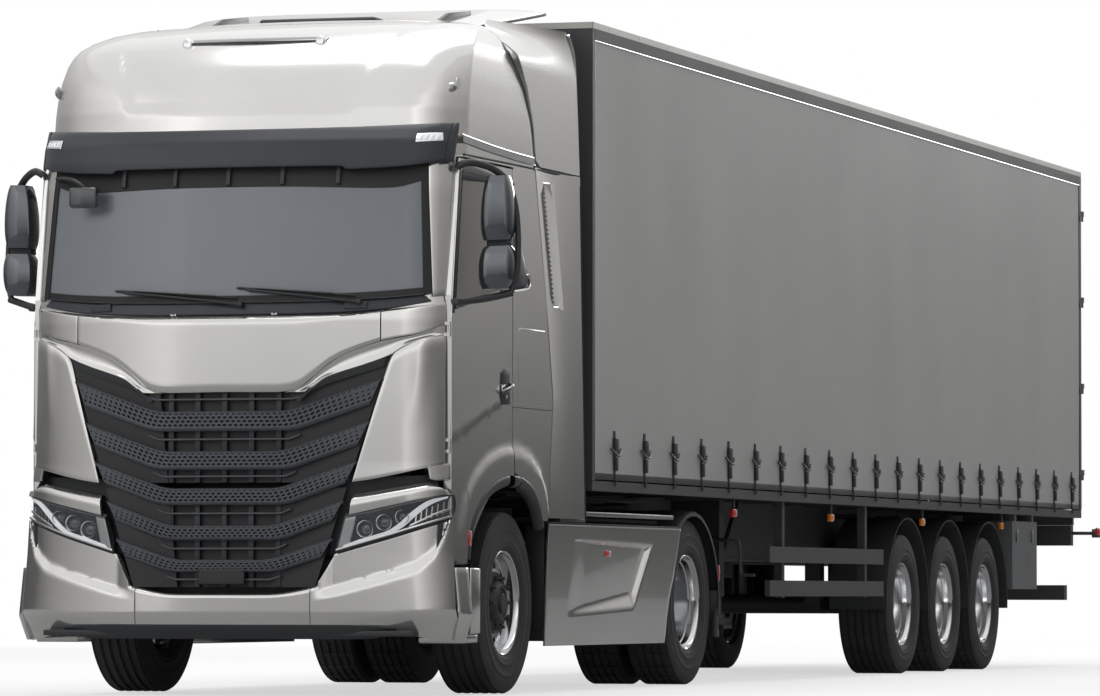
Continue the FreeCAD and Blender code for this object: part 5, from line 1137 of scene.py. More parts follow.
SCREEN_LOW = [(0.0, 2.200), (0.35, 2.201), (0.60, 2.205), (0.78, 2.212), (0.92, 2.221), (1.06, 2.234), (1.168, 2.248)]
SCREEN_HIGH = [(x, 2.985) for x in (0.0, 0.35, 0.60, 0.78, 0.92, 1.04, 1.120)]
pane = wide_sheet(SCREEN_LOW, SCREEN_HIGH, 61, 25, 0.012, None, 0.007, 0.0)
settle(coat(pane, SCREEN), "windscreen_pane", "cab", replaces=("windscreen",))

# The dark printed border of the screen: its foot, its two sides and its head.
frit = [front_sheet(both_ends([(x, z + 0.002) for x, z in SCREEN_LOW]),
                    both_ends([(x, z + 0.038) for x, z in SCREEN_LOW]), 61, 3, 0.008, None, 0.003, 0.0)]
for side in (-1, 1):
    frit.append(front_sheet([(side * 1.118, 2.24), (side * 1.166, 2.25)],
                            [(side * 1.078, 2.985), (side * 1.118, 2.985)], 5, 25, 0.008, None, 0.003, 0.0))
header_low = [(0.0, 2.852), (0.35, 2.850), (0.65, 2.842), (0.85, 2.838), (0.98, 2.846), (1.10, 2.884)]
header_high = [(x, 2.985) for x in (0.0, 0.35, 0.65, 0.85, 0.98, 1.118)]
frit.append(wide_sheet(header_low, header_high, 61, 9, 0.006, None, 0.004, 0.0))
frit = [coat(piece, SEAL) for piece in frit]
ribs = [coat(front_sheet([(x - 0.012, 2.862), (x + 0.012, 2.862)], [(x - 0.012, 2.98), (x + 0.012, 2.98)], 3, 7,
                         -0.014, None, 0.02, 0.003), BLACK_PLASTIC) for x in (-0.64, -0.32, 0.0, 0.32, 0.64)]

pillar_rows = []
for level in range(25):
    z = 2.235 + (3.030 - 2.235) * level / 24
    inner = 1.163 + (1.112 - 1.163) * level / 24
    outer = pillar_edge(z)
    row = [front(inner, z, 0.020)] + [front(inner + (outer - inner) * i / 8, z, 0.002 - 0.004 * math.sin(math.pi * i / 8))
                                      for i in range(9)]
    row.append((outer - 0.030, blend_between(DOOR_LINE, z) - 0.001, z))
    pillar_rows.append(row)
pillar = soften(closed_sheet(pillar_rows, 0.010), 0.003, 2, 40)
pillars = [coat(piece, PAINT) for piece in paired(pillar)]

VISOR_NOSE = ((2.93, -1.432), (3.00, -1.426), (3.10, -1.395), (3.18, -1.335), (3.22, -1.285))


def visor_spot(x, z, sink):
    return (x, swept(blend_between(VISOR_NOSE, z), min(abs(x) / 1.243, 1.0)) + sink, z)


def visor_sheet(low, high, across_count, up_count, sink=0.0, wall=0.012, edge=0.004):
    low, high = eased(low, across_count), eased(high, across_count)
    rows = []
    for up in range(up_count):
        t = up / (up_count - 1)
        rows.append([visor_spot(a[0] + (b[0] - a[0]) * t, a[1] + (b[1] - a[1]) * t, sink) for a, b in zip(low, high)])
    made = closed_sheet(rows, wall)
    return soften(made, edge, 2, 40) if edge else made


visor_low = [(0.0, 2.958), (0.40, 2.957), (0.655, 2.956), (0.700, 2.940), (0.80, 2.942), (0.95, 2.950), (1.08, 2.965),
             (1.205, 2.992)]
visor_high = [(0.0, 3.178), (0.40, 3.179), (0.655, 3.183), (0.72, 3.184), (0.82, 3.188), (0.95, 3.194), (1.08, 3.202),
              (1.212, 3.214)]
visor = coat(visor_sheet(both_ends(visor_low), both_ends(visor_high), 81, 17, 0.0, 0.010, 0.004), SMOKED)
lamps = []
for side in (-1, 1):
    seat = visor_sheet([(side * 1.06, 3.092), (side * 1.19, 3.104)], [(side * 1.06, 3.142), (side * 1.18, 3.152)],
                       9, 5, -0.003, 0.006, 0.003)
    lamps.append(coat(seat, CHROME))
    for step in range(4):
        x = 1.078 + 0.027 * step
        lens_piece = visor_sheet([(side * x, 3.104 + 0.002 * step), (side * (x + 0.018), 3.105 + 0.002 * step)],
                                 [(side * x, 3.132 + 0.002 * step), (side * (x + 0.018), 3.133 + 0.002 * step)],
                                 4, 4, -0.007, 0.006, 0.002)
        lamps.append(coat(lens_piece, WHITE_LENS))
for side in (-1, 1):
    rows = []
    for level in range(9):
        z = 2.985 + (3.212 - 2.985) * level / 8
        start = visor_spot(side * blend_between(((2.985, 1.204), (3.214, 1.211)), z), z, 0.0)
        back = -1.000 - 0.08 * (1 - level / 8)
        rows.append([(side * (abs(start[0]) + 0.022 * math.sin(i / 6 * math.pi / 2)),
                      start[1] + (back - start[1]) * i / 6, z) for i in range(7)])
    lamps.append(coat(soften(closed_sheet(rows, 0.010, 0.0), 0.003, 2, 40), SMOKED))
stays = []
for x in (-1.02, -0.50, 0.0, 0.50, 1.02):
    stays.append(slab(CHASSIS, (x - 0.018, visor_spot(x, 3.15, 0.02)[1], 3.135),
                      (x + 0.018, visor_spot(x, 3.15, 0.02)[1] + 0.10, 3.150), 0.003))
settle(joined(visor, lamps, stays), "sun_visor_blade", "cab", replaces=("sun_visor",))

ROOF_NOSE = ((3.035, -1.290), (3.20, -1.262), (3.30, -1.250), (3.40, -1.226), (3.50, -1.185), (3.60, -1.120),
             (3.66, -1.060), (3.70, -0.990), (3.75, -0.870), (3.80, -0.690), (3.85, -0.430), (3.88, -0.180),
             (3.895, 0.060))
ROOF_HALF = ((3.035, 1.243), (3.20, 1.243), (3.35, 1.240), (3.50, 1.232), (3.62, 1.218), (3.70, 1.196), (3.76, 1.160),
             (3.80, 1.125), (3.84, 1.070), (3.87, 1.000), (3.885, 0.930), (3.895, 0.850))
ROOF_BACK = 0.848
ROOF_SEAM = ((3.04, 0.50), (3.10, 0.38), (3.30, 0.33), (3.50, 0.22), (3.65, 0.08), (3.76, 0.00),
             (3.85, 0.06), (3.90, 0.15))


def roof_row(z):
    """The roof's outline at a height, from its middle in front round one side to its middle behind."""
    nose, half = blend_between(ROOF_NOSE, z), blend_between(ROOF_HALF, z)
    row = []
    for step in range(61):
        share = math.sin(step / 60 * math.pi / 2) ** 1.15
        x = half * share
        y = swept(nose, share, 0.16)
        panel = 0.682 + 0.38 * (z - 3.301)
        inside = clamped((panel - x) / 0.035) * clamped((z - 3.28) / 0.05)
        row.append((x, y + 0.016 * inside, z))
    corner = row[-1][1]
    seam = blend_between(ROOF_SEAM, z)
    for step in range(1, 33):
        y = corner + (ROOF_BACK - corner) * step / 32
        row.append((half - 0.16 * clamped((y - seam) / 0.30) ** 1.2, y, z))
    side_end = row[-1][0]
    for step in range(1, 9):
        row.append((side_end * (1 - step / 8), ROOF_BACK, z))
    return row


levels = [3.040, 3.046, 3.08, 3.14, 3.20, 3.25, 3.285, 3.30, 3.32, 3.36, 3.40, 3.45, 3.50, 3.55, 3.60, 3.63, 3.66, 3.68,
          3.70, 3.725, 3.75, 3.775, 3.80, 3.82, 3.84, 3.855, 3.87, 3.88, 3.888, 3.895]
roof_rows = [roof_row(z) for z in levels]
roof_rows.append([(x * 0.6, y + (0.35 - y) * 0.35, 3.905) for x, y, z in roof_rows[-1]])
roof_rows.append([(0.0, 0.35, 3.908) for point in roof_rows[-1]])
roof_skin = both_sides(sheet_of(roof_rows, flip=True))
turn_out(roof_skin)
modify(roof_skin, "SOLIDIFY", thickness=0.02, offset=-1.0)
coat(roof_skin, PAINT)
gutter = []
for side in (-1, 1):
    line = [(side * 1.2455, -0.95, 3.040), (side * 1.2462, -0.30, 3.043), (side * 1.2462, 0.30, 3.046),
            (side * 1.2455, 0.842, 3.046)]
    gutter.append(coat(tube(line, 0.006), SEAL))
hatch = slab(BLACK_PLASTIC, (-0.36, 0.08, 3.900), (0.36, 0.62, 3.935), 0.018, 3)
ledge = []
for side in (-1, 1):
    line = [(side * 1.2440, -0.98, 3.150), (side * 1.2452, -0.55, 3.128), (side * 1.2458, 0.05, 3.110),
            (side * 1.2458, 0.34, 3.108)]
    ledge.append(coat(tube(line, 0.005), PAINT))
    # A mid-grey band under the ledge: painted shadow of the roof's side step.
    painted_shadow_band = [[(side * 1.2490, y, z - drop) for x, y, z in line] for drop in (0.006, 0.024, 0.042)]
    ledge.append(coat(closed_sheet(painted_shadow_band, 0.0025), PANEL_GREY))
BAR_END = 0.43
bar_rows = [[(x / 20 * BAR_END, blend_between(ROOF_NOSE, z) + 0.20 * (x / 20 * BAR_END / 1.24) ** 2 + 0.002, z)
             for x in range(-20, 21)] for z in (3.698, 3.706, 3.716, 3.724)]
light_bar = [coat(soften(closed_sheet(bar_rows, 0.012, 0.0), 0.002, 2, 40), GLOSS_BLACK)]
for side in (-1, 1):
    spot = Vector((side * 0.40, blend_between(ROOF_NOSE, 3.70) + 0.02, 3.70))
    light_bar.append(coat(turned([(-0.022, 0.0), (-0.024, 0.022), (-0.018, 0.028), (0.02, 0.030), (0.02, 0.0)],
                                 spot, "y", 24), CHROME))
    socket = Vector((side * 1.205, -0.965, 3.44))
    light_bar.append(coat(turned([(-0.012, 0.0), (-0.004, 0.022), (0.006, 0.034), (0.012, 0.036), (0.012, 0.0)],
                                 socket, "x", 24), ALLOY))
settle(joined(roof_skin, gutter, hatch, ledge, light_bar), "high_roof_skin", "cab",
       replaces=("cab_roof",))

# Wipers, the close-view mirror, the screen's ribs and the pillars ride with the cab.
wipers = []
for pivot, tip in (((0.10, 2.188), (-0.60, 2.262)), ((0.78, 2.196), (0.14, 2.268))):
    base = front(*pivot, -0.002)
    wipers.append(coat(rod((base[0], base[1] + 0.03, base[2]), (base[0], base[1] - 0.006, base[2] + 0.004),
                           0.016, 20, 0.004), CHASSIS))
    middle = front((pivot[0] + tip[0]) / 2, (pivot[1] + tip[1]) / 2 + 0.006, -0.014)
    end = front(*tip, -0.016)
    wipers.append(coat(tube([base, middle, end], 0.008), CHASSIS))
    blade_line = [front(pivot[0] - 0.02 + (tip[0] - 0.04 - pivot[0]) * i / 6,
                        pivot[1] + 0.036 + (tip[1] + 0.012 - pivot[1] - 0.036) * i / 6, -0.002) for i in range(7)]
    wipers.append(coat(tube(blade_line, 0.0065), SEAL))
    spine = [(x, y - 0.008, z + 0.004) for x, y, z in blade_line[1:6]]
    wipers.append(coat(tube(spine, 0.004), CHASSIS))
close_arm = coat(tube([front(-1.10, 2.93, -0.01), front(-1.00, 2.92, -0.10), front(-0.90, 2.90, -0.13),
                       front(-0.86, 2.86, -0.10)], 0.012), CHASSIS)
spot = front(-0.86, 2.80, -0.10)
close_case = slab(GLOSS_BLACK, (spot[0] - 0.085, spot[1] - 0.02, 2.745),
                  (spot[0] + 0.085, spot[1] + 0.05, 2.865), 0.022, 4)
settle(joined(pillars, frit, ribs, wipers, close_arm, close_case), "screen_surround", "cab")

# Cab sides ------------------------------------------------

def collar(pairs, rings, spot, cuts=5, thick=0.005):
    """A skin between an opening and its surround, given as matching corners."""
    inner, outer = [], []
    for (a, b), (c, d) in zip(pairs, pairs[1:] + pairs[:1]):
        for step in range(cuts):
            t = step / cuts
            inner.append([a[k] + (c[k] - a[k]) * t for k in (0, 1)])
            outer.append([b[k] + (d[k] - b[k]) * t for k in (0, 1)])
    rows = []
    for ring in range(rings + 1):
        s = ring / rings
        row = [spot(i[0] + (o[0] - i[0]) * s, i[1] + (o[1] - i[1]) * s) for i, o in zip(inner, outer)]
        rows.append(row + row[:1])
    return turn_out(modify(merged(sheet_of(rows)), "SOLIDIFY", thickness=thick, offset=0.0, use_even_offset=False))


def gridded(across, bottom, top, levels, spot, thick=0.005):
    """A skin standing between two lines that run along the cab."""
    rows = []
    for level in range(levels + 1):
        t = level / levels
        rows.append([spot(y, bottom(y) + (top(y) - bottom(y)) * t) for y in across])
    return closed_sheet(rows, thick, 0.0)


ARCH = [(-0.930, 0.768), (-0.905, 0.890), (-0.835, 1.010), (-0.700, 1.115), (-0.500, 1.195), (-0.300, 1.238),
        (-0.155, 1.253), (0.050, 1.250), (0.220, 1.220), (0.350, 1.160), (0.440, 1.075), (0.493, 0.968)]


def arch_gap(y, z):
    best = 9.0
    for (a, b), (c, d) in zip(ARCH, ARCH[1:]):
        t = clamped(((y - a) * (c - a) + (z - b) * (d - b)) / ((c - a) ** 2 + (d - b) ** 2))
        best = min(best, math.hypot(y - a - (c - a) * t, z - b - (d - b) * t))
    return best


def flank_spot(y, z):
    bulge = 0.013 * eased_step((0.175 - arch_gap(y, z)) / 0.05)
    line = z - (1.466 + (y + 1.067) * 0.248)
    crease = 0.0045 * math.exp(-line / 0.10) * eased_step((-0.24 - y) / 0.06) if line > 0 else 0.0
    return (1.2485 + bulge + crease, y, z)


def arch_line(y):
    if y <= ARCH[0][0]:
        return 0.745
    return blend_between(ARCH, y) if y < 0.493 else 0.968


def sill_line(y):
    return 2.160 + (y + 1.171) * 0.1246 - 0.040


door_columns = spread(-1.183, -0.935, 9) + spread(-0.925, -0.076, 40)
panel = gridded(door_columns, arch_line, sill_line, 44, flank_spot)
window = [((-1.124, 2.166), (-1.183, sill_line(-1.183))), ((-0.157, 2.317), (-0.076, sill_line(-0.076))),
          ((-0.157, 2.802), (-0.076, 2.86)), ((-0.218, 2.933), (-0.14, 3.005)), ((-0.60, 2.942), (-0.60, 3.012)),
          ((-0.997, 2.948), (-1.048, 3.012))]
frame_skin = collar(window, 4, flank_spot)
seal_line = [(1.2515, *inner) for inner, _ in window + window[:1]]
gaskets = [coat(rod(a, b, 0.0045, 8), SEAL) for a, b in zip(seal_line, seal_line[1:])]
top_trim = coat(plate([(-1.010, 2.895), (-0.985, 2.985), (-0.235, 2.972), (-0.185, 2.890), (-0.225, 2.925)],
                      "x", 1.2505, 1.2545, 0.002), GLOSS_BLACK)
front_trim = coat(plate([(-1.176, 2.14), (-1.135, 2.14), (-0.995, 2.95), (-1.036, 2.98)], "x", 1.2505, 1.2535, 0.0015),
                  CHASSIS)
bezel = coat(plate([(-0.318, 1.700), (-0.290, 1.838), (-0.235, 1.862), (-0.140, 1.862), (-0.132, 1.660),
                    (-0.290, 1.655)], "x", 1.250, 1.2585, 0.004), CHASSIS)
recess = coat(plate([(-0.300, 1.712), (-0.275, 1.825), (-0.160, 1.835), (-0.150, 1.680), (-0.285, 1.680)],
                    "x", 1.2565, 1.2590, 0.001), RUBBER)
grip = coat(tube([(1.258, -0.297, 1.722), (1.284, -0.280, 1.735), (1.287, -0.215, 1.752), (1.284, -0.160, 1.768),
                  (1.258, -0.146, 1.775)], 0.011, 12), GLOSS_BLACK)
catch = coat(turned([(0.0, 0.012), (0.003, 0.010), (0.004, 0.0)], (1.2585, -0.20, 1.70), "x", 20), CHROME)


ARCH_DEPTH = 0.062


def arch_band(span):
    """Dark trim along the wheel arch: a lip outside and a turn inward behind it."""
    rows = []
    for index in span:
        (y, z), before, after = ARCH[index], ARCH[max(index - 1, 0)], ARCH[min(index + 1, len(ARCH) - 1)]
        way = Vector((after[0] - before[0], after[1] - before[1])).normalized()
        rows.append([(x, y + way[1] * inward, z - way[0] * inward) for x, inward in (
            (1.2490, -0.006), (1.2660, 0.0), (1.2690, 0.012), (1.2660, ARCH_DEPTH * 0.7), (1.2540, ARCH_DEPTH),
            (1.2150, ARCH_DEPTH + 0.004))])
    made = sheet_of(rows, 0.005, offset=0.0)
    modify(made, "SUBSURF", levels=1, render_levels=1)
    return coat(turn_out(made), BLACK_PLASTIC)


door_trim, cab_trim = arch_band(range(0, 7)), arch_band(range(7, len(ARCH)))
joint_trim = arch_band((6, 7))
for vertex in joint_trim.data.vertices:
    vertex.co.y = max(vertex.co.y, -0.066)
red = slab(RED_LENS, (1.262, -0.915, 0.845), (1.2705, -0.880, 0.930), 0.002)
panel_foot = slab(BLACK_PLASTIC, (1.2455, -1.180, 0.742), (1.2535, -0.935, 0.760), 0.002)
door_pattern = joined(coat(panel, PAINT), coat(frame_skin, PAINT), gaskets, top_trim, front_trim, bezel, recess, grip,
                      catch, door_trim, red, panel_foot)
for label, side in SIDES:
    settle(copied(door_pattern, flip=side < 0), "cab_door_skin_" + label, label + "_cab_door")
bpy.data.objects.remove(door_pattern)

JOINT = ((1.00, 0.575), (1.20, 0.640), (1.715, 0.708), (2.30, 0.570), (3.069, 0.344), (3.2, 0.34))


def joint_at(z):
    return blend_between(JOINT, z) - 0.006


flank_rows = []
for level in range(61):
    z = 1.000 + 2.034 * level / 60
    if z < 1.253:
        start = 0.433 + blend_between(((0.968, 0.06), (1.075, 0.007), (1.160, -0.083), (1.220, -0.213),
                                       (1.250, -0.383), (1.2535, -0.498)), z)
    else:
        start = -0.063
    flank_rows.append([flank_spot(y, z) for y in spread(start, joint_at(z), 26)])
flank = coat(closed_sheet(flank_rows, 0.005, 0.0), PAINT)
locker = coat(plate([(0.055, 1.666), (0.555, 1.666), (0.575, 1.686), (0.575, 2.075), (0.545, 2.108), (0.070, 2.108),
                     (0.037, 2.088), (0.037, 1.686)],
                    "x", 1.2495, 1.2535, 0.0025, 1), PAINT)
seam_line = coat(rod((1.2505, -0.062, 1.648), (1.2505, joint_at(1.648) - 0.02, 1.648), 0.003, 6), SEAL)
quarter = coat(plate([(-0.058, 2.318), (0.20, 2.345), (0.247, 2.362), (0.243, 2.392), (-0.058, 2.728)],
                     "x", 1.2495, 1.2525, 0.001), GLOSS_BLACK)
quarter_glass = coat(plate([(-0.052, 2.336), (0.19, 2.362), (0.225, 2.378), (-0.052, 2.706)],
                           "x", 1.2520, 1.2540, 0.001), SMOKED)
quarter_lip = coat(tube([(1.2525, -0.058, 2.313), (1.256, 0.10, 2.322), (1.256, 0.235, 2.345), (1.256, 0.262, 2.375),
                         (1.2525, 0.235, 2.425)], 0.007), PAINT)
half = joined(flank, locker, seam_line, quarter, quarter_glass, quarter_lip, cab_trim, joint_trim)
settle(both_sides(half), "cab_flank_skins", "cab", replaces=("wheel_arches",))

# Air deflectors behind the cab.
BACK_EDGE = ((1.00, 1.352), (1.137, 1.345), (3.14, 1.231), (3.746, 1.155), (3.86, 1.085), (3.90, 1.000))


def deflector_spot(y, z):
    front_y, back_y = joint_at(z) + 0.010, blend_between(BACK_EDGE, z)
    share = clamped((y - front_y) / (back_y - front_y))
    dish = 0.016 * math.sin(math.pi * share)
    return (1.2500 - dish, y, z)


vent_outline = [((0.480, 2.915), (joint_at(3.05) + 0.010, 3.055)), ((0.530, 2.975), (0.60, 3.055)),
                ((0.660, 2.978), (0.80, 3.055)), ((0.715, 2.915), (1.236, 3.055)), ((0.905, 2.335), (1.28, 2.33)),
                ((0.880, 2.262), (1.296, 2.06)), ((0.745, 2.258), (0.88, 2.06)),
                ((0.680, 2.300), (joint_at(2.06) + 0.010, 2.06))]
upper_half = collar(vent_outline, 6, deflector_spot, 6)
lower_rows = []
for level in range(30):
    z = 1.02 + 1.04 * level / 29
    lower_rows.append([deflector_spot(y, z) for y in spread(joint_at(z) + 0.010, blend_between(BACK_EDGE, z), 14)])
lower_half = closed_sheet(lower_rows, 0.005, 0.0)
pocket = coat(plate([(0.480, 2.93), (0.550, 3.00), (0.665, 3.01), (0.725, 2.95), (0.915, 2.32), (0.885, 2.235),
                     (0.745, 2.235), (0.680, 2.28)], "x", 1.180, 1.186, 0.001), SEAL)
ramp = [[(1.2120, 0.480 + 0.200 * t + 0.165, 2.985 - 0.735 * t), (1.2300, 0.480 + 0.200 * t + 0.200, 2.985 - 0.735 * t),
         (1.2474, 0.480 + 0.200 * t + 0.240, 2.985 - 0.735 * t)] for t in spread(0.0, 1.0, 9)]
# The ramp's pale, unmetallic finish is a painted highlight for the vent's lit inner face.
bright = coat(closed_sheet(ramp, 0.003), VENT_HIGHLIGHT_PAINT)
saw = [(0.470, 2.965)]
for i in range(27):
    y, z = 0.466 + 0.205 * i / 26, 2.955 - 0.680 * i / 26
    saw += [(y + 0.055, z), (y + 0.112, z - 0.013)]
saw.append((0.680, 2.262))
teeth = coat(plate(saw, "x", 1.2370, 1.2410, 0.0), CHASSIS)
lip = [coat(rod((deflector_spot(*a)[0], *a), (deflector_spot(*b)[0], *b), 0.0055, 8), PAINT)
       for (a, _), (b, _) in zip(vent_outline, vent_outline[1:] + vent_outline[:1])]

upper_rows = []
for level in range(25):
    z = 3.062 + 0.84 * level / 24
    start, end = blend_between(ROOF_SEAM, z) - 0.004, blend_between(BACK_EDGE, z)
    row = []
    for column in range(21):
        s = column / 20
        lean = 0.21 * eased_step((z - 3.66) / 0.23) * (1 - s) ** 1.2 + 0.015 * eased_step((z - 3.6) / 0.3)
        row.append((1.2470 - lean, start + (end - start) * s, z))
    upper_rows.append(row)
upper = coat(closed_sheet(upper_rows, 0.006, 0.0), PAINT)
edge_strip = coat(tube([(1.2500, blend_between(BACK_EDGE, z) + 0.004, z) for z in (1.02, 1.5, 2.2, 3.0)],
                       0.008, 8), SEAL)
upper_edge = coat(tube([(1.2430, blend_between(BACK_EDGE, z) + 0.002, z) for z in (3.07, 3.3, 3.6, 3.75, 3.84, 3.885)],
                       0.008, 8), PAINT)
ledge = slab(SEAL, (1.18, 0.36, 3.052), (1.2470, 1.226, 3.066), 0.003)
half = joined(coat(upper_half, PAINT), coat(lower_half, PAINT), pocket, bright, teeth, lip, upper, edge_strip,
              upper_edge, ledge)
settle(both_sides(half), "side_deflector_skins", "cab", replaces=("side_deflectors",))

rows = []
for step in range(25):
    s = step / 24
    y = -0.055 + 1.150 * s
    crown = 3.902 + 0.158 * s ** 1.2
    rows.append([(x / 16 * (0.92 + 0.17 * s),
                  y, crown - 0.030 * (abs(x) / 16) ** 6 - 0.020 * (1 - s) * (abs(x) / 16) ** 2)
                  for x in range(-16, 17)])
wing = coat(soften(closed_sheet(rows, 0.022), 0.006, 2, 40), PAINT)
struts = [coat(plate([(0.15, 3.895), (0.80, 3.895), (0.80, 4.022), (0.40, 3.975)], "x", side * 0.70 - 0.012,
                     side * 0.70 + 0.012, 0.004), BLACK_PLASTIC) for side in (-1, 1)]
settle(joined(wing, struts), "roof_deflector_skin", "cab", replaces=("roof_deflector",))

# Mirrors: an arm above, a frame outside, an arm below and two housings.
upper_arm = tube([(1.246, -1.065, 2.960), (1.275, -1.075, 2.985), (1.340, -1.000, 2.988), (1.440, -0.900, 2.945),
                  (1.500, -0.862, 2.860)], 0.021, 16)
outer_arm = tube([(1.480, -0.868, 2.885), (1.520, -0.858, 2.800), (1.543, -0.868, 2.560), (1.538, -0.885, 2.330),
                  (1.500, -0.905, 2.250)], 0.0165, 16)
lower_arm = tube([(1.246, -1.130, 2.200), (1.270, -1.130, 2.205), (1.340, -1.040, 2.215), (1.420, -0.950, 2.235),
                  (1.515, -0.900, 2.262)], 0.020, 16)
shoe = soften(block((1.246, -1.178, 2.180), (1.292, -1.080, 2.222), 0.0), 0.010, 3)


HOUSING_SIDES = 28


def centred(row):
    """A row shrunk to its middle, which closes a loft's end."""
    return [tuple(sum(point[k] for point in row) / len(row) for k in range(3))] * len(row)


def housing(low_z, high_z, inner_low, inner_high, outer_low, outer_high):
    """A mirror housing: a rounded box lofted between its foot and its head."""
    rows = []
    for level in range(17):
        t = level / 16
        z = low_z + (high_z - low_z) * t
        swell = math.sin(math.pi * (0.05 + 0.90 * t)) ** 0.16
        inner, outer = inner_low + (inner_high - inner_low) * t, outer_low + (outer_high - outer_low) * t
        middle, wide = (inner + outer) / 2, (outer - inner) / 2 * swell
        rows.append([(middle + wide * math.copysign(abs(math.cos(a)) ** 0.45, math.cos(a)),
                      -0.915 - 0.085 * swell * math.copysign(abs(math.sin(a)) ** 0.6, math.sin(a)) + 0.35 * (middle - 1.44),
                      z + 0.05 * (middle + wide * math.cos(a) - 1.44))
                     for a in [2 * math.pi * i / HOUSING_SIDES for i in range(HOUSING_SIDES + 1)]])
    rows = [centred(rows[0])] + rows + [centred(rows[-1])]
    return turn_out(merged(sheet_of(rows)))


big, small = housing(2.555, 2.915, 1.335, 1.360, 1.538, 1.518), housing(2.282, 2.520, 1.330, 1.336, 1.532, 1.540)
neck = block((1.372, -0.935, 2.500), (1.505, -0.855, 2.575), 0.010, 3)
glasses = [slab(CHROME, (1.385, -0.842, 2.60), (1.495, -0.838, 2.86), 0.0015),
           slab(CHROME, (1.375, -0.842, 2.325), (1.495, -0.838, 2.475), 0.0015)]
mirror_pattern = joined([coat(piece, BLACK_PLASTIC) for piece in (upper_arm, outer_arm, lower_arm, shoe, neck)],
                        coat(big, HOUSING), coat(small, HOUSING), glasses)
for label, side in SIDES:
    settle(copied(mirror_pattern, flip=side < 0), "mirror_set_" + label, label + "_cab_door",
           replaces=("mirror_" + label,))
bpy.data.objects.remove(mirror_pattern)

# Skirts, steps, catwalk and drive fenders -----------------


def rounded_min(a, b, width):
    """The smaller of two values, with the change from one to the other rounded over a width."""
    part = min(max(0.5 + 0.5 * (b - a) / width, 0.0), 1.0)
    return b + (a - b) * part - width * part * (1.0 - part)


def skirt_right(z):
    return 2.41 + (z - 0.490) * 0.9086


def skirt_spot(y, z):
    """The recess deepens backwards from nothing, so its lower ledge is a long wedge."""
    left, right, up = 1.042 + (z - 0.452) * 0.232, skirt_right(z), z - 0.27
    low, high = 0.452 + (y - 1.042) * 0.0278, 0.891 - (y - 1.144) * 0.0112
    floor = 0.004 * eased_step((y - left) / 0.30) + 0.027 * max((y - left) / (right - left), 0.0)
    floor = rounded_min(floor, (z - low) * 0.35, 0.004)
    depth = max(min(floor, (right - y) * 1.15, (high - z) * 1.8), 0.0)
    return (1.2245 + 0.021 * up + 0.0227 * up * up - depth, y, z)


def skirt_end(z):
    return 3.108 + (z - 0.269) * 0.3773


def skirt_level(y, level):
    up = eased_step((level - 0.55) / 0.25) * eased_step((0.985 - level) / 0.06)
    down = eased_step((level - 0.30) / 0.10) * eased_step((0.70 - level) / 0.20)
    return level - 0.0112 * (y - 1.144) * up + 0.0278 * (y - 1.042) * down


def skirt_columns(level):
    right = skirt_right(skirt_level(2.5, level))
    return (spread(0.622, right - 0.058, 84) + spread(right - 0.042, right, 4)
            + spread(right + 0.014, skirt_end(level), 24))


skirt_levels = sorted(spread(0.272, 0.985, 45) + [0.868, 0.872, 0.876, 0.880, 0.884, 0.888, 0.892])
rows = [[skirt_spot(y, skirt_level(y, level)) for y in skirt_columns(level)] for level in skirt_levels]
skirt = soften(coat(closed_sheet(rows, 0.012, 0.0), PAINT), 0.003, 2, 50)
marker = slab(RED_LENS, (1.216, 1.815, 0.800), (1.2375, 1.935, 0.838), 0.003)
tank = slab(ALLOY, (0.700, 1.030, 0.365), (1.188, 2.670, 0.955), 0.110, 7)
tank_parts = [tank] + [slab(STEEL_GREY, (0.694, y, 0.359), (1.194, y + 0.045, 0.961), 0.110, 7)
                       for y in (1.25, 1.85, 2.40)]
tank_parts.append(coat(rod((1.02, 1.55, 0.95), (1.02, 1.55, 0.985), 0.045, 28, 0.006), BLACK_PLASTIC))
settle(both_sides(joined(tank_parts)), "fuel_tank_pair", "tractor", replaces=("fuel_tanks",))
strip = slab(BRUSHED, (1.150, 1.449, 1.040), (1.236, 3.290, 1.068), 0.006, 3)
walk = [slab(BLACK_PLASTIC, (0.50, 0.92, 1.000), (1.232, 1.420, 1.022), 0.004),
        slab(BLACK_PLASTIC, (0.50, 1.43, 1.012), (1.150, 3.22, 1.034), 0.004)]
walk += [slab(CHASSIS, (0.52, 1.50 + 0.07 * i, 1.034), (1.14, 1.53 + 0.07 * i, 1.040), 0.002) for i in range(24)]
walk.append(slab(SEAL, (1.222, 0.640, 0.985), (1.244, 3.36, 0.997), 0.003))
walk.append(slab(CHASSIS, (1.10, 0.648, 0.30), (1.218, 0.672, 0.98), 0.004))
half = joined(skirt, marker, strip, walk)
settle(both_sides(half), "side_skirt_skins", "tractor", replaces=("side_skirts",))

step_parts = [slab(PAINT, (1.020, -1.072, 0.300), (1.275, -0.775, 0.352), 0.010, 3),
              slab(PAINT, (1.268, -0.930, 0.352), (1.288, -0.768, 0.722), 0.008, 3),
              slab(CHASSIS, (1.000, -0.790, 0.352), (1.270, -0.768, 0.722), 0.004),
              slab(CHASSIS, (1.000, -1.072, 0.352), (1.020, -0.790, 0.722), 0.004),
              slab(BLACK_PLASTIC, (1.020, -1.060, 0.520), (1.250, -0.800, 0.545), 0.006),
              slab(BLACK_PLASTIC, (1.020, -1.060, 0.690), (1.240, -0.800, 0.720), 0.006)]
step_parts += [slab(ALLOY, (1.05 + 0.04 * i, -1.03, 0.545), (1.065 + 0.04 * i, -0.83, 0.551), 0.002) for i in range(5)]
settle(both_sides(joined(step_parts)), "entry_step_boxes", "tractor", replaces=("entry_steps",))

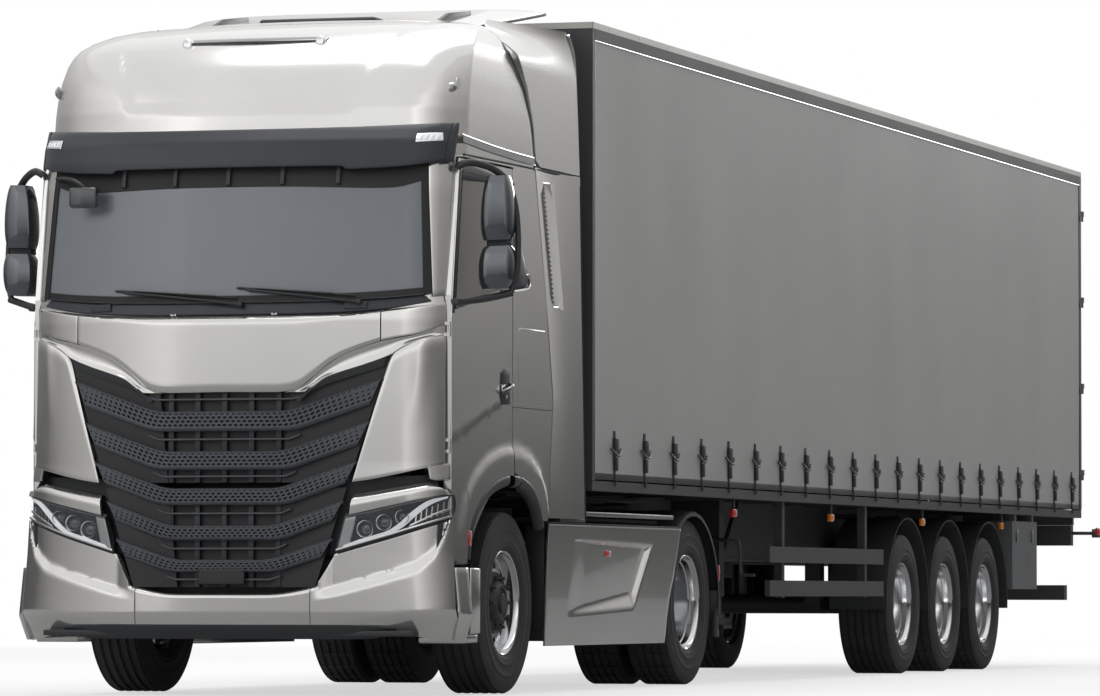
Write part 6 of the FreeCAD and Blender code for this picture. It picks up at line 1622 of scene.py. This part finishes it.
DRIVE_Y, DRIVE_Z = 3.785, 0.530
rows = []
for step in range(37):
    angle = math.radians(-15 + 207 * step / 36)
    reach = 0.600 + 0.012 * math.cos(angle) ** 2
    y, z = DRIVE_Y + reach * math.cos(angle), max(DRIVE_Z + (reach - 0.028) * math.sin(angle), 0.41)
    out_y, out_z = DRIVE_Y + (reach - 0.035) * math.cos(angle), max(DRIVE_Z + (reach - 0.060) * math.sin(angle), 0.38)
    if y < 3.19 or z < 0.42:
        continue
    rows.append([(0.640, y, z - 0.010), (0.80, y, z), (1.10, y, z + 0.006), (1.205, y, z),
                 (1.222, out_y * 0.3 + y * 0.7, out_z * 0.3 + z * 0.7), (1.224, out_y, out_z)])
fender = closed_sheet(rows, 0.006, 0.0)
flap = block((0.66, 4.372, 0.300), (1.215, 4.382, 0.600), 0.003)
bracket = plate([(4.30, 0.30), (4.392, 0.30), (4.392, 0.34), (4.37, 0.36), (4.37, 0.48), (4.35, 0.48)],
                "x", 1.190, 1.222, 0.004)
lamp_red = slab(RED_LENS, (1.217, 4.372, 0.66), (1.225, 4.395, 0.76), 0.002)
half = joined([coat(piece, BLACK_PLASTIC) for piece in (fender, flap, bracket)], lamp_red)
settle(both_sides(half), "drive_fender_skins", "tractor", replaces=("drive_mudguards",))

# Inside the cab -------------------------------------------

def stuffed(low, high, edge, voxel, swell):
    """A cushion cover blown up a little over its foam, then held close to the cut shape."""
    made = block(low, high, edge, 3)
    modify(made, "REMESH", mode="VOXEL", voxel_size=voxel)
    before = [vertex.co.copy() for vertex in made.data.vertices]
    hold(made)
    bpy.ops.object.modifier_add(type="CLOTH")
    cloth = made.modifiers[-1]
    cloth.settings.use_pressure = True
    cloth.settings.uniform_pressure_force = 4
    cloth.settings.effector_weights.gravity = 0
    cloth.point_cache.frame_start, cloth.point_cache.frame_end = 1, 20
    for frame_number in range(1, 21):
        scene.frame_set(frame_number)
    hold(made)
    bpy.ops.object.modifier_apply(modifier=cloth.name)
    scene.frame_set(1)
    for vertex, rest in zip(made.data.vertices, before):
        way = vertex.co - rest
        if way.length > swell:
            vertex.co = rest + way * (swell / way.length)
    return modify(coat(made, CLOTH), "SUBSURF", levels=1, render_levels=1)


base_cushion = stuffed((0.35, -0.62, 1.625), (0.85, -0.10, 1.755), 0.045, 0.013, 0.016)
back_cushion = stuffed((0.36, -0.085, 1.775), (0.84, 0.035, 2.440), 0.045, 0.013, 0.016)
head_cushion = stuffed((0.47, -0.060, 2.475), (0.73, 0.030, 2.660), 0.035, 0.011, 0.012)
mattress = stuffed((-1.13, 0.20, 1.830), (1.13, 0.79, 1.940), 0.040, 0.024, 0.014)
for label, side in SIDES:
    for pattern, part in ((base_cushion, "base"), (back_cushion, "back"), (head_cushion, "head")):
        cushion = settle(copied(pattern, flip=side < 0), "seat_%s_%s" % (part, label),
                         "cab", replaces=("seats",))
for pattern in (base_cushion, back_cushion, head_cushion):
    bpy.data.objects.remove(pattern)
settle(mattress, "bunk_mattress", "cab", replaces=("bunk",))

seat = [slab(SOFT_TOUCH, (0.42, -0.56, 1.345), (0.78, -0.14, 1.46), 0.02, 3),
        slab(RUBBER, (0.46, -0.52, 1.46), (0.74, -0.18, 1.56), 0.015),
        slab(SOFT_TOUCH, (0.36, -0.60, 1.56), (0.84, -0.10, 1.622), 0.015, 3),
        slab(SOFT_TOUCH, (0.37, 0.038, 1.70), (0.83, 0.062, 2.42), 0.010, 3),
        coat(rod((0.55, -0.01, 2.42), (0.55, -0.01, 2.52), 0.007, 12), BRUSHED),
        coat(rod((0.65, -0.01, 2.42), (0.65, -0.01, 2.52), 0.007, 12), BRUSHED),
        coat(tube([(0.335, 0.03, 2.00), (0.325, -0.10, 2.01), (0.325, -0.34, 2.01)], 0.024, 12), SOFT_TOUCH),
        coat(tube([(0.83, 0.06, 2.48), (0.80, 0.00, 2.30), (0.52, -0.10, 1.90), (0.37, -0.10, 1.72)],
                  0.010, 6), WEBBING)]
cabin = paired(joined(seat))
cabin.append(slab(LINING, (-1.15, 0.18, 1.345), (1.15, 0.81, 1.828), 0.012, 3))
cabin += [slab(SOFT_TOUCH, (x, 0.172, 1.42), (x + 0.70, 0.182, 1.78), 0.006) for x in (-1.10, -0.35, 0.40)]
cabin += [slab(RUBBER, (-1.20, -1.20, 1.342), (1.20, 0.80, 1.350), 0.002),
          slab(LINING, (-1.195, 0.792, 1.95), (1.195, 0.808, 3.00), 0.006),
          slab(LINING, (-1.16, -0.95, 3.010), (1.16, 0.79, 3.026))]
cabin += [side_slab(LINING, side, 1.190, 1.203, (-0.04, 1.36), (0.79, 3.00)) for side in (-1, 1)]
dash_profile = [(-1.33, 1.36), (-0.98, 1.36), (-0.94, 1.66), (-0.87, 1.92), (-0.86, 2.06), (-0.96, 2.13),
                (-1.16, 2.170), (-1.30, 2.150), (-1.34, 2.05)]
cabin += [coat(plate(dash_profile, "x", -0.86, 0.86, 0.020, 3), SOFT_TOUCH),
          coat(plate([(max(y, -1.10), z) for y, z in dash_profile[:7]], "x", -1.135, 1.135, 0.015, 3), SOFT_TOUCH),
          slab(SOFT_TOUCH, (0.33, -1.04, 2.08), (0.87, -0.86, 2.205), 0.035, 4),
          slab(GLOSS_BLACK, (0.38, -0.866, 2.07), (0.82, -0.856, 2.175), 0.006),
          slab(GLOSS_BLACK, (-0.02, -0.880, 1.93), (0.27, -0.852, 2.09), 0.010)]
cabin += [slab(BLACK_PLASTIC, (x, -0.872, 1.945), (x + 0.14, -0.853, 2.03), 0.008) for x in (-1.08, -0.24, -0.42, 0.95)]
cabin += [coat(rod((0.02 + 0.06 * i, -0.93, 1.84), (0.02 + 0.06 * i, -0.865, 1.85), 0.012, 20, 0.002), BRUSHED)
          for i in range(4)]
tilt = Matrix.Translation((0.60, -0.76, 2.02)) @ Matrix.Rotation(math.radians(-52), 4, "X")
ring = turned([(-0.013, 0.222), (0.0, 0.235), (0.013, 0.222), (0.0, 0.209), (-0.013, 0.222)], (0, 0, 0), "y", 48)
boss = soften(block((-0.085, -0.030, -0.06), (0.085, 0.014, 0.06), 0.0), 0.02, 3)
spokes = [soften(block((-0.215, -0.012, -0.016), (0.215, 0.006, 0.016), 0.0), 0.005),
          soften(block((-0.015, -0.012, -0.215), (0.015, 0.006, 0.0), 0.0), 0.005)]
wheel = joined(coat(ring, SOFT_TOUCH), coat(boss, GLOSS_BLACK), [coat(piece, BRUSHED) for piece in spokes])
wheel.data.transform(tilt)
cabin += [wheel, coat(rod((0.60, -0.80, 2.00), (0.60, -1.00, 1.80), 0.035, 24, 0.004), SOFT_TOUCH)]
settle(joined(cabin), "cab_interior", "cab", replaces=("dashboard",))

# Trailer --------------------------------------------------

# The curtain's ends and edges, and its straps: the first one's place, their spacing and number.
SPAN_LOW, SPAN_HIGH, CLOTH_LOW, CLOTH_HIGH = 1.464, 14.916, 1.262, 3.893
STRAP_START, STRAP_STEP, STRAP_COUNT = 1.884, 0.6368, 21
buckle = joined([
    slab(CHASSIS, (1.2745, -0.036, 1.420), (1.2940, 0.036, 1.518), 0.006, 3),
    slab(WEBBING, (1.2715, -0.019, 1.500), (1.2760, 0.019, 1.560), 0.001),
    slab(WEBBING, (1.2715, -0.017, 1.300), (1.2765, 0.017, 1.425), 0.001),
    slab(CHASSIS, (1.276, -0.026, 1.318), (1.293, 0.026, 1.402), 0.006),
    coat(tube([(1.284, -0.100, 1.452), (1.298, -0.045, 1.415), (1.300, 0.0, 1.408), (1.298, 0.045, 1.415),
               (1.284, 0.100, 1.452)], 0.008, 8), STEEL_GREY),
    coat(tube([(1.274, 0.0, 1.305), (1.283, 0.0, 1.262), (1.282, 0.0, 1.232), (1.270, 0.0, 1.226)], 0.0065, 8),
         STEEL_GREY)])
for label, side in SIDES:
    rows = []
    for level in range(33):
        t = level / 32
        row = []
        for column in range(421):
            y = SPAN_LOW + (SPAN_HIGH - SPAN_LOW) * column / 420
            pull = math.cos(2 * math.pi * (y - STRAP_START) / STRAP_STEP)
            wave = 0.0022 * math.sin(y * 5.1 + 2.2 * t) * math.sin(math.pi * t) + 0.0016 * pull * math.exp(-t / 0.16)
            row.append((side * (1.2690 + wave), y, CLOTH_LOW + (CLOTH_HIGH - CLOTH_LOW) * t))
        rows.append(row)
    curtain = coat(sheet_of(rows, 0.0010, offset=0.0), CURTAIN)
    settle(turn_out(curtain), "curtain_" + label, "trailer", replaces=("side_curtains",))
    straps = [copied(buckle, move=(0, STRAP_START + STRAP_STEP * count, 0), flip=side < 0)
              for count in range(STRAP_COUNT)]
    hems = [side_slab(STEEL_GREY, side, 1.2700, 1.2722, (SPAN_LOW, CLOTH_LOW), (SPAN_HIGH, 1.300), 0.0005),
            coat(rod((side * 1.2715, SPAN_LOW, 3.890), (side * 1.2715, SPAN_HIGH, 3.890), 0.0045, 8), ALLOY),
            coat(rod((side * 1.2640, SPAN_LOW + 0.012, 1.26), (side * 1.2640, SPAN_LOW + 0.012, 3.89),
                     0.011, 12), ALLOY)]
    hardware = settle(joined(straps, hems), "curtain_straps_" + label, "trailer")
bpy.data.objects.remove(buckle)

# Trailer fittings: front posts, roof rail with its rivets, marker lamps, the front wall's ribs and
# couplings, the landing legs' crank, air tanks and the rear lamps.
RAIL_FRONT, RAIL_BACK, RAIL_LOW, RAIL_HIGH = 1.4165, 14.972, 3.962, 3.9995
WALL_FACE, CRANK_Y = 1.4195, 5.20
trim = []
for side in (-1, 1):
    trim.append(side_slab(STEEL_GREY, side, 1.262, 1.274, (1.425, 1.262), (1.458, 3.98), 0.003))
    for rivet in range(21):
        y = 1.75 + 0.6368 * rivet
        trim.append(coat(rod((side * 1.2760, y, 3.982), (side * 1.2795, y, 3.982), 0.006, 8), ALLOY))
    trim.append(side_slab(RAIL_GREY, side, 1.2740, 1.2775, (RAIL_FRONT, RAIL_LOW), (RAIL_BACK, RAIL_HIGH), 0.0))
    trim.append(side_slab(CHASSIS, side, 1.2740, 1.2765, (1.460, 3.898), (RAIL_BACK, RAIL_LOW), 0.0))
    for y in (4.756, 7.237, 9.852, 12.389):
        trim.append(side_slab(STEEL_GREY, side, 1.205, 1.222, (y - 0.012, 1.125), (y + 0.012, 1.195), 0.002))
        trim.append(side_slab(RED_LENS if y < 5 else AMBER_LENS, side, 1.200, 1.228, (y - 0.045, 1.075),
                              (y + 0.045, 1.128), 0.006, 3))
    # Latches of the tool box on the left, hanger plates on the right.
    for y in (12.76, 13.28):
        trim.append(slab(BRUSHED, (1.2505, y - 0.02, 0.98), (1.262, y + 0.02, 1.08)) if side > 0 else
                    slab(STEEL_GREY, (-1.18, y - 0.02, 1.155), (-1.16, y + 0.02, 1.190), 0.003))
trim.append(slab(RAIL_GREY, (-1.2775, RAIL_FRONT, RAIL_LOW), (1.2775, WALL_FACE, RAIL_HIGH), 0.0))
trim += [slab(PANEL_GREY, (x - 0.018, 1.402, 1.35), (x + 0.018, WALL_FACE, 3.85)) for x in spread(-1.05, 1.05, 9)]
trim.append(slab(STEEL_GREY, (-0.16, 1.398, 1.60), (0.16, WALL_FACE, 1.90), 0.008))
trim += [coat(rod((x, 1.385, 1.68), (x, 1.420, 1.68), 0.022, 20, 0.003), lens)
         for x, lens in ((-0.09, RED_LENS), (0.0, BLACK_PLASTIC), (0.09, AMBER_LENS))]
crank = tube([(x, CRANK_Y, z) for x, z in ((1.055, 0.93), (1.120, 0.93), (1.135, 0.90), (1.135, 0.72),
                                           (1.150, 0.70), (1.235, 0.70))], 0.010, 10)
trim += [coat(rod((x, 6.45, 0.86), (x, 7.75, 0.86), 0.155, 40, 0.02), CHASSIS) for x in (-0.20, 0.20)]
trim += [slab(STEEL_GREY, (-0.42, y, 0.69), (0.42, y + 0.04, 1.15), 0.006) for y in (6.65, 7.50)]
trim += [coat(crank, STEEL_GREY), coat(rod((-1.03, CRANK_Y, 0.93), (1.05, CRANK_Y, 0.93), 0.014, 12), CHASSIS)]
for side in (-1, 1):
    for corner, lens, wide in ((0.66, RED_LENS, 0.15), (0.83, AMBER_LENS, 0.12), (0.97, WHITE_LENS, 0.10)):
        trim.append(side_slab(lens, side, corner, corner + wide, (15.012, 1.009), (15.028, 1.133), 0.010, 4))
    trim.append(side_slab(RED_LENS, side, 1.405, 1.437, (14.90, 1.055), (14.945, 1.115), 0.010, 3))
    trim += [side_slab(RED_LENS, side, x, x + 0.14, (14.8205, 0.565), (14.826, 0.615), 0.002)
             for x in (0.30, 0.62, 0.94)]
settle(joined(trim), "trailer_fittings", "trailer")

# Rear doors: lock rods' ends, handles, keepers, hinges and the seal between them.
DOOR_FACE = 15.0205
for label, side in SIDES:
    parts = []
    for x, way in ((0.22, 1), (0.92, -1)):
        parts += [slab(STEEL_GREY, (side * x - 0.024, 15.024, z), (side * x + 0.024, 15.060, z + 0.04), 0.006)
                  for z in (1.272, 3.942)]
        parts.append(coat(tube([(side * x, 15.058, 1.62), (side * (x + way * 0.12), 15.064, 1.615),
                                (side * (x + way * 0.30), 15.064, 1.60)],
                               0.011, 10), STEEL_GREY))
        keeper = side * (x + way * 0.20)
        parts.append(slab(BRUSHED, (keeper - 0.03, DOOR_FACE, 1.585), (keeper + 0.03, 15.053, 1.63), 0.005))
    parts += [side_slab(BRUSHED, side, 1.02, 1.190, (DOOR_FACE, z - 0.022), (15.0285, z + 0.022), 0.002)
              for z in (1.45, 2.25, 3.05, 3.82)]
    parts.append(side_slab(SEAL, side, 0.008, 0.028, (DOOR_FACE, 1.27), (15.030, 3.99), 0.003))
    settle(joined(parts), "rear_door_gear_" + label, label + "_rear_door")
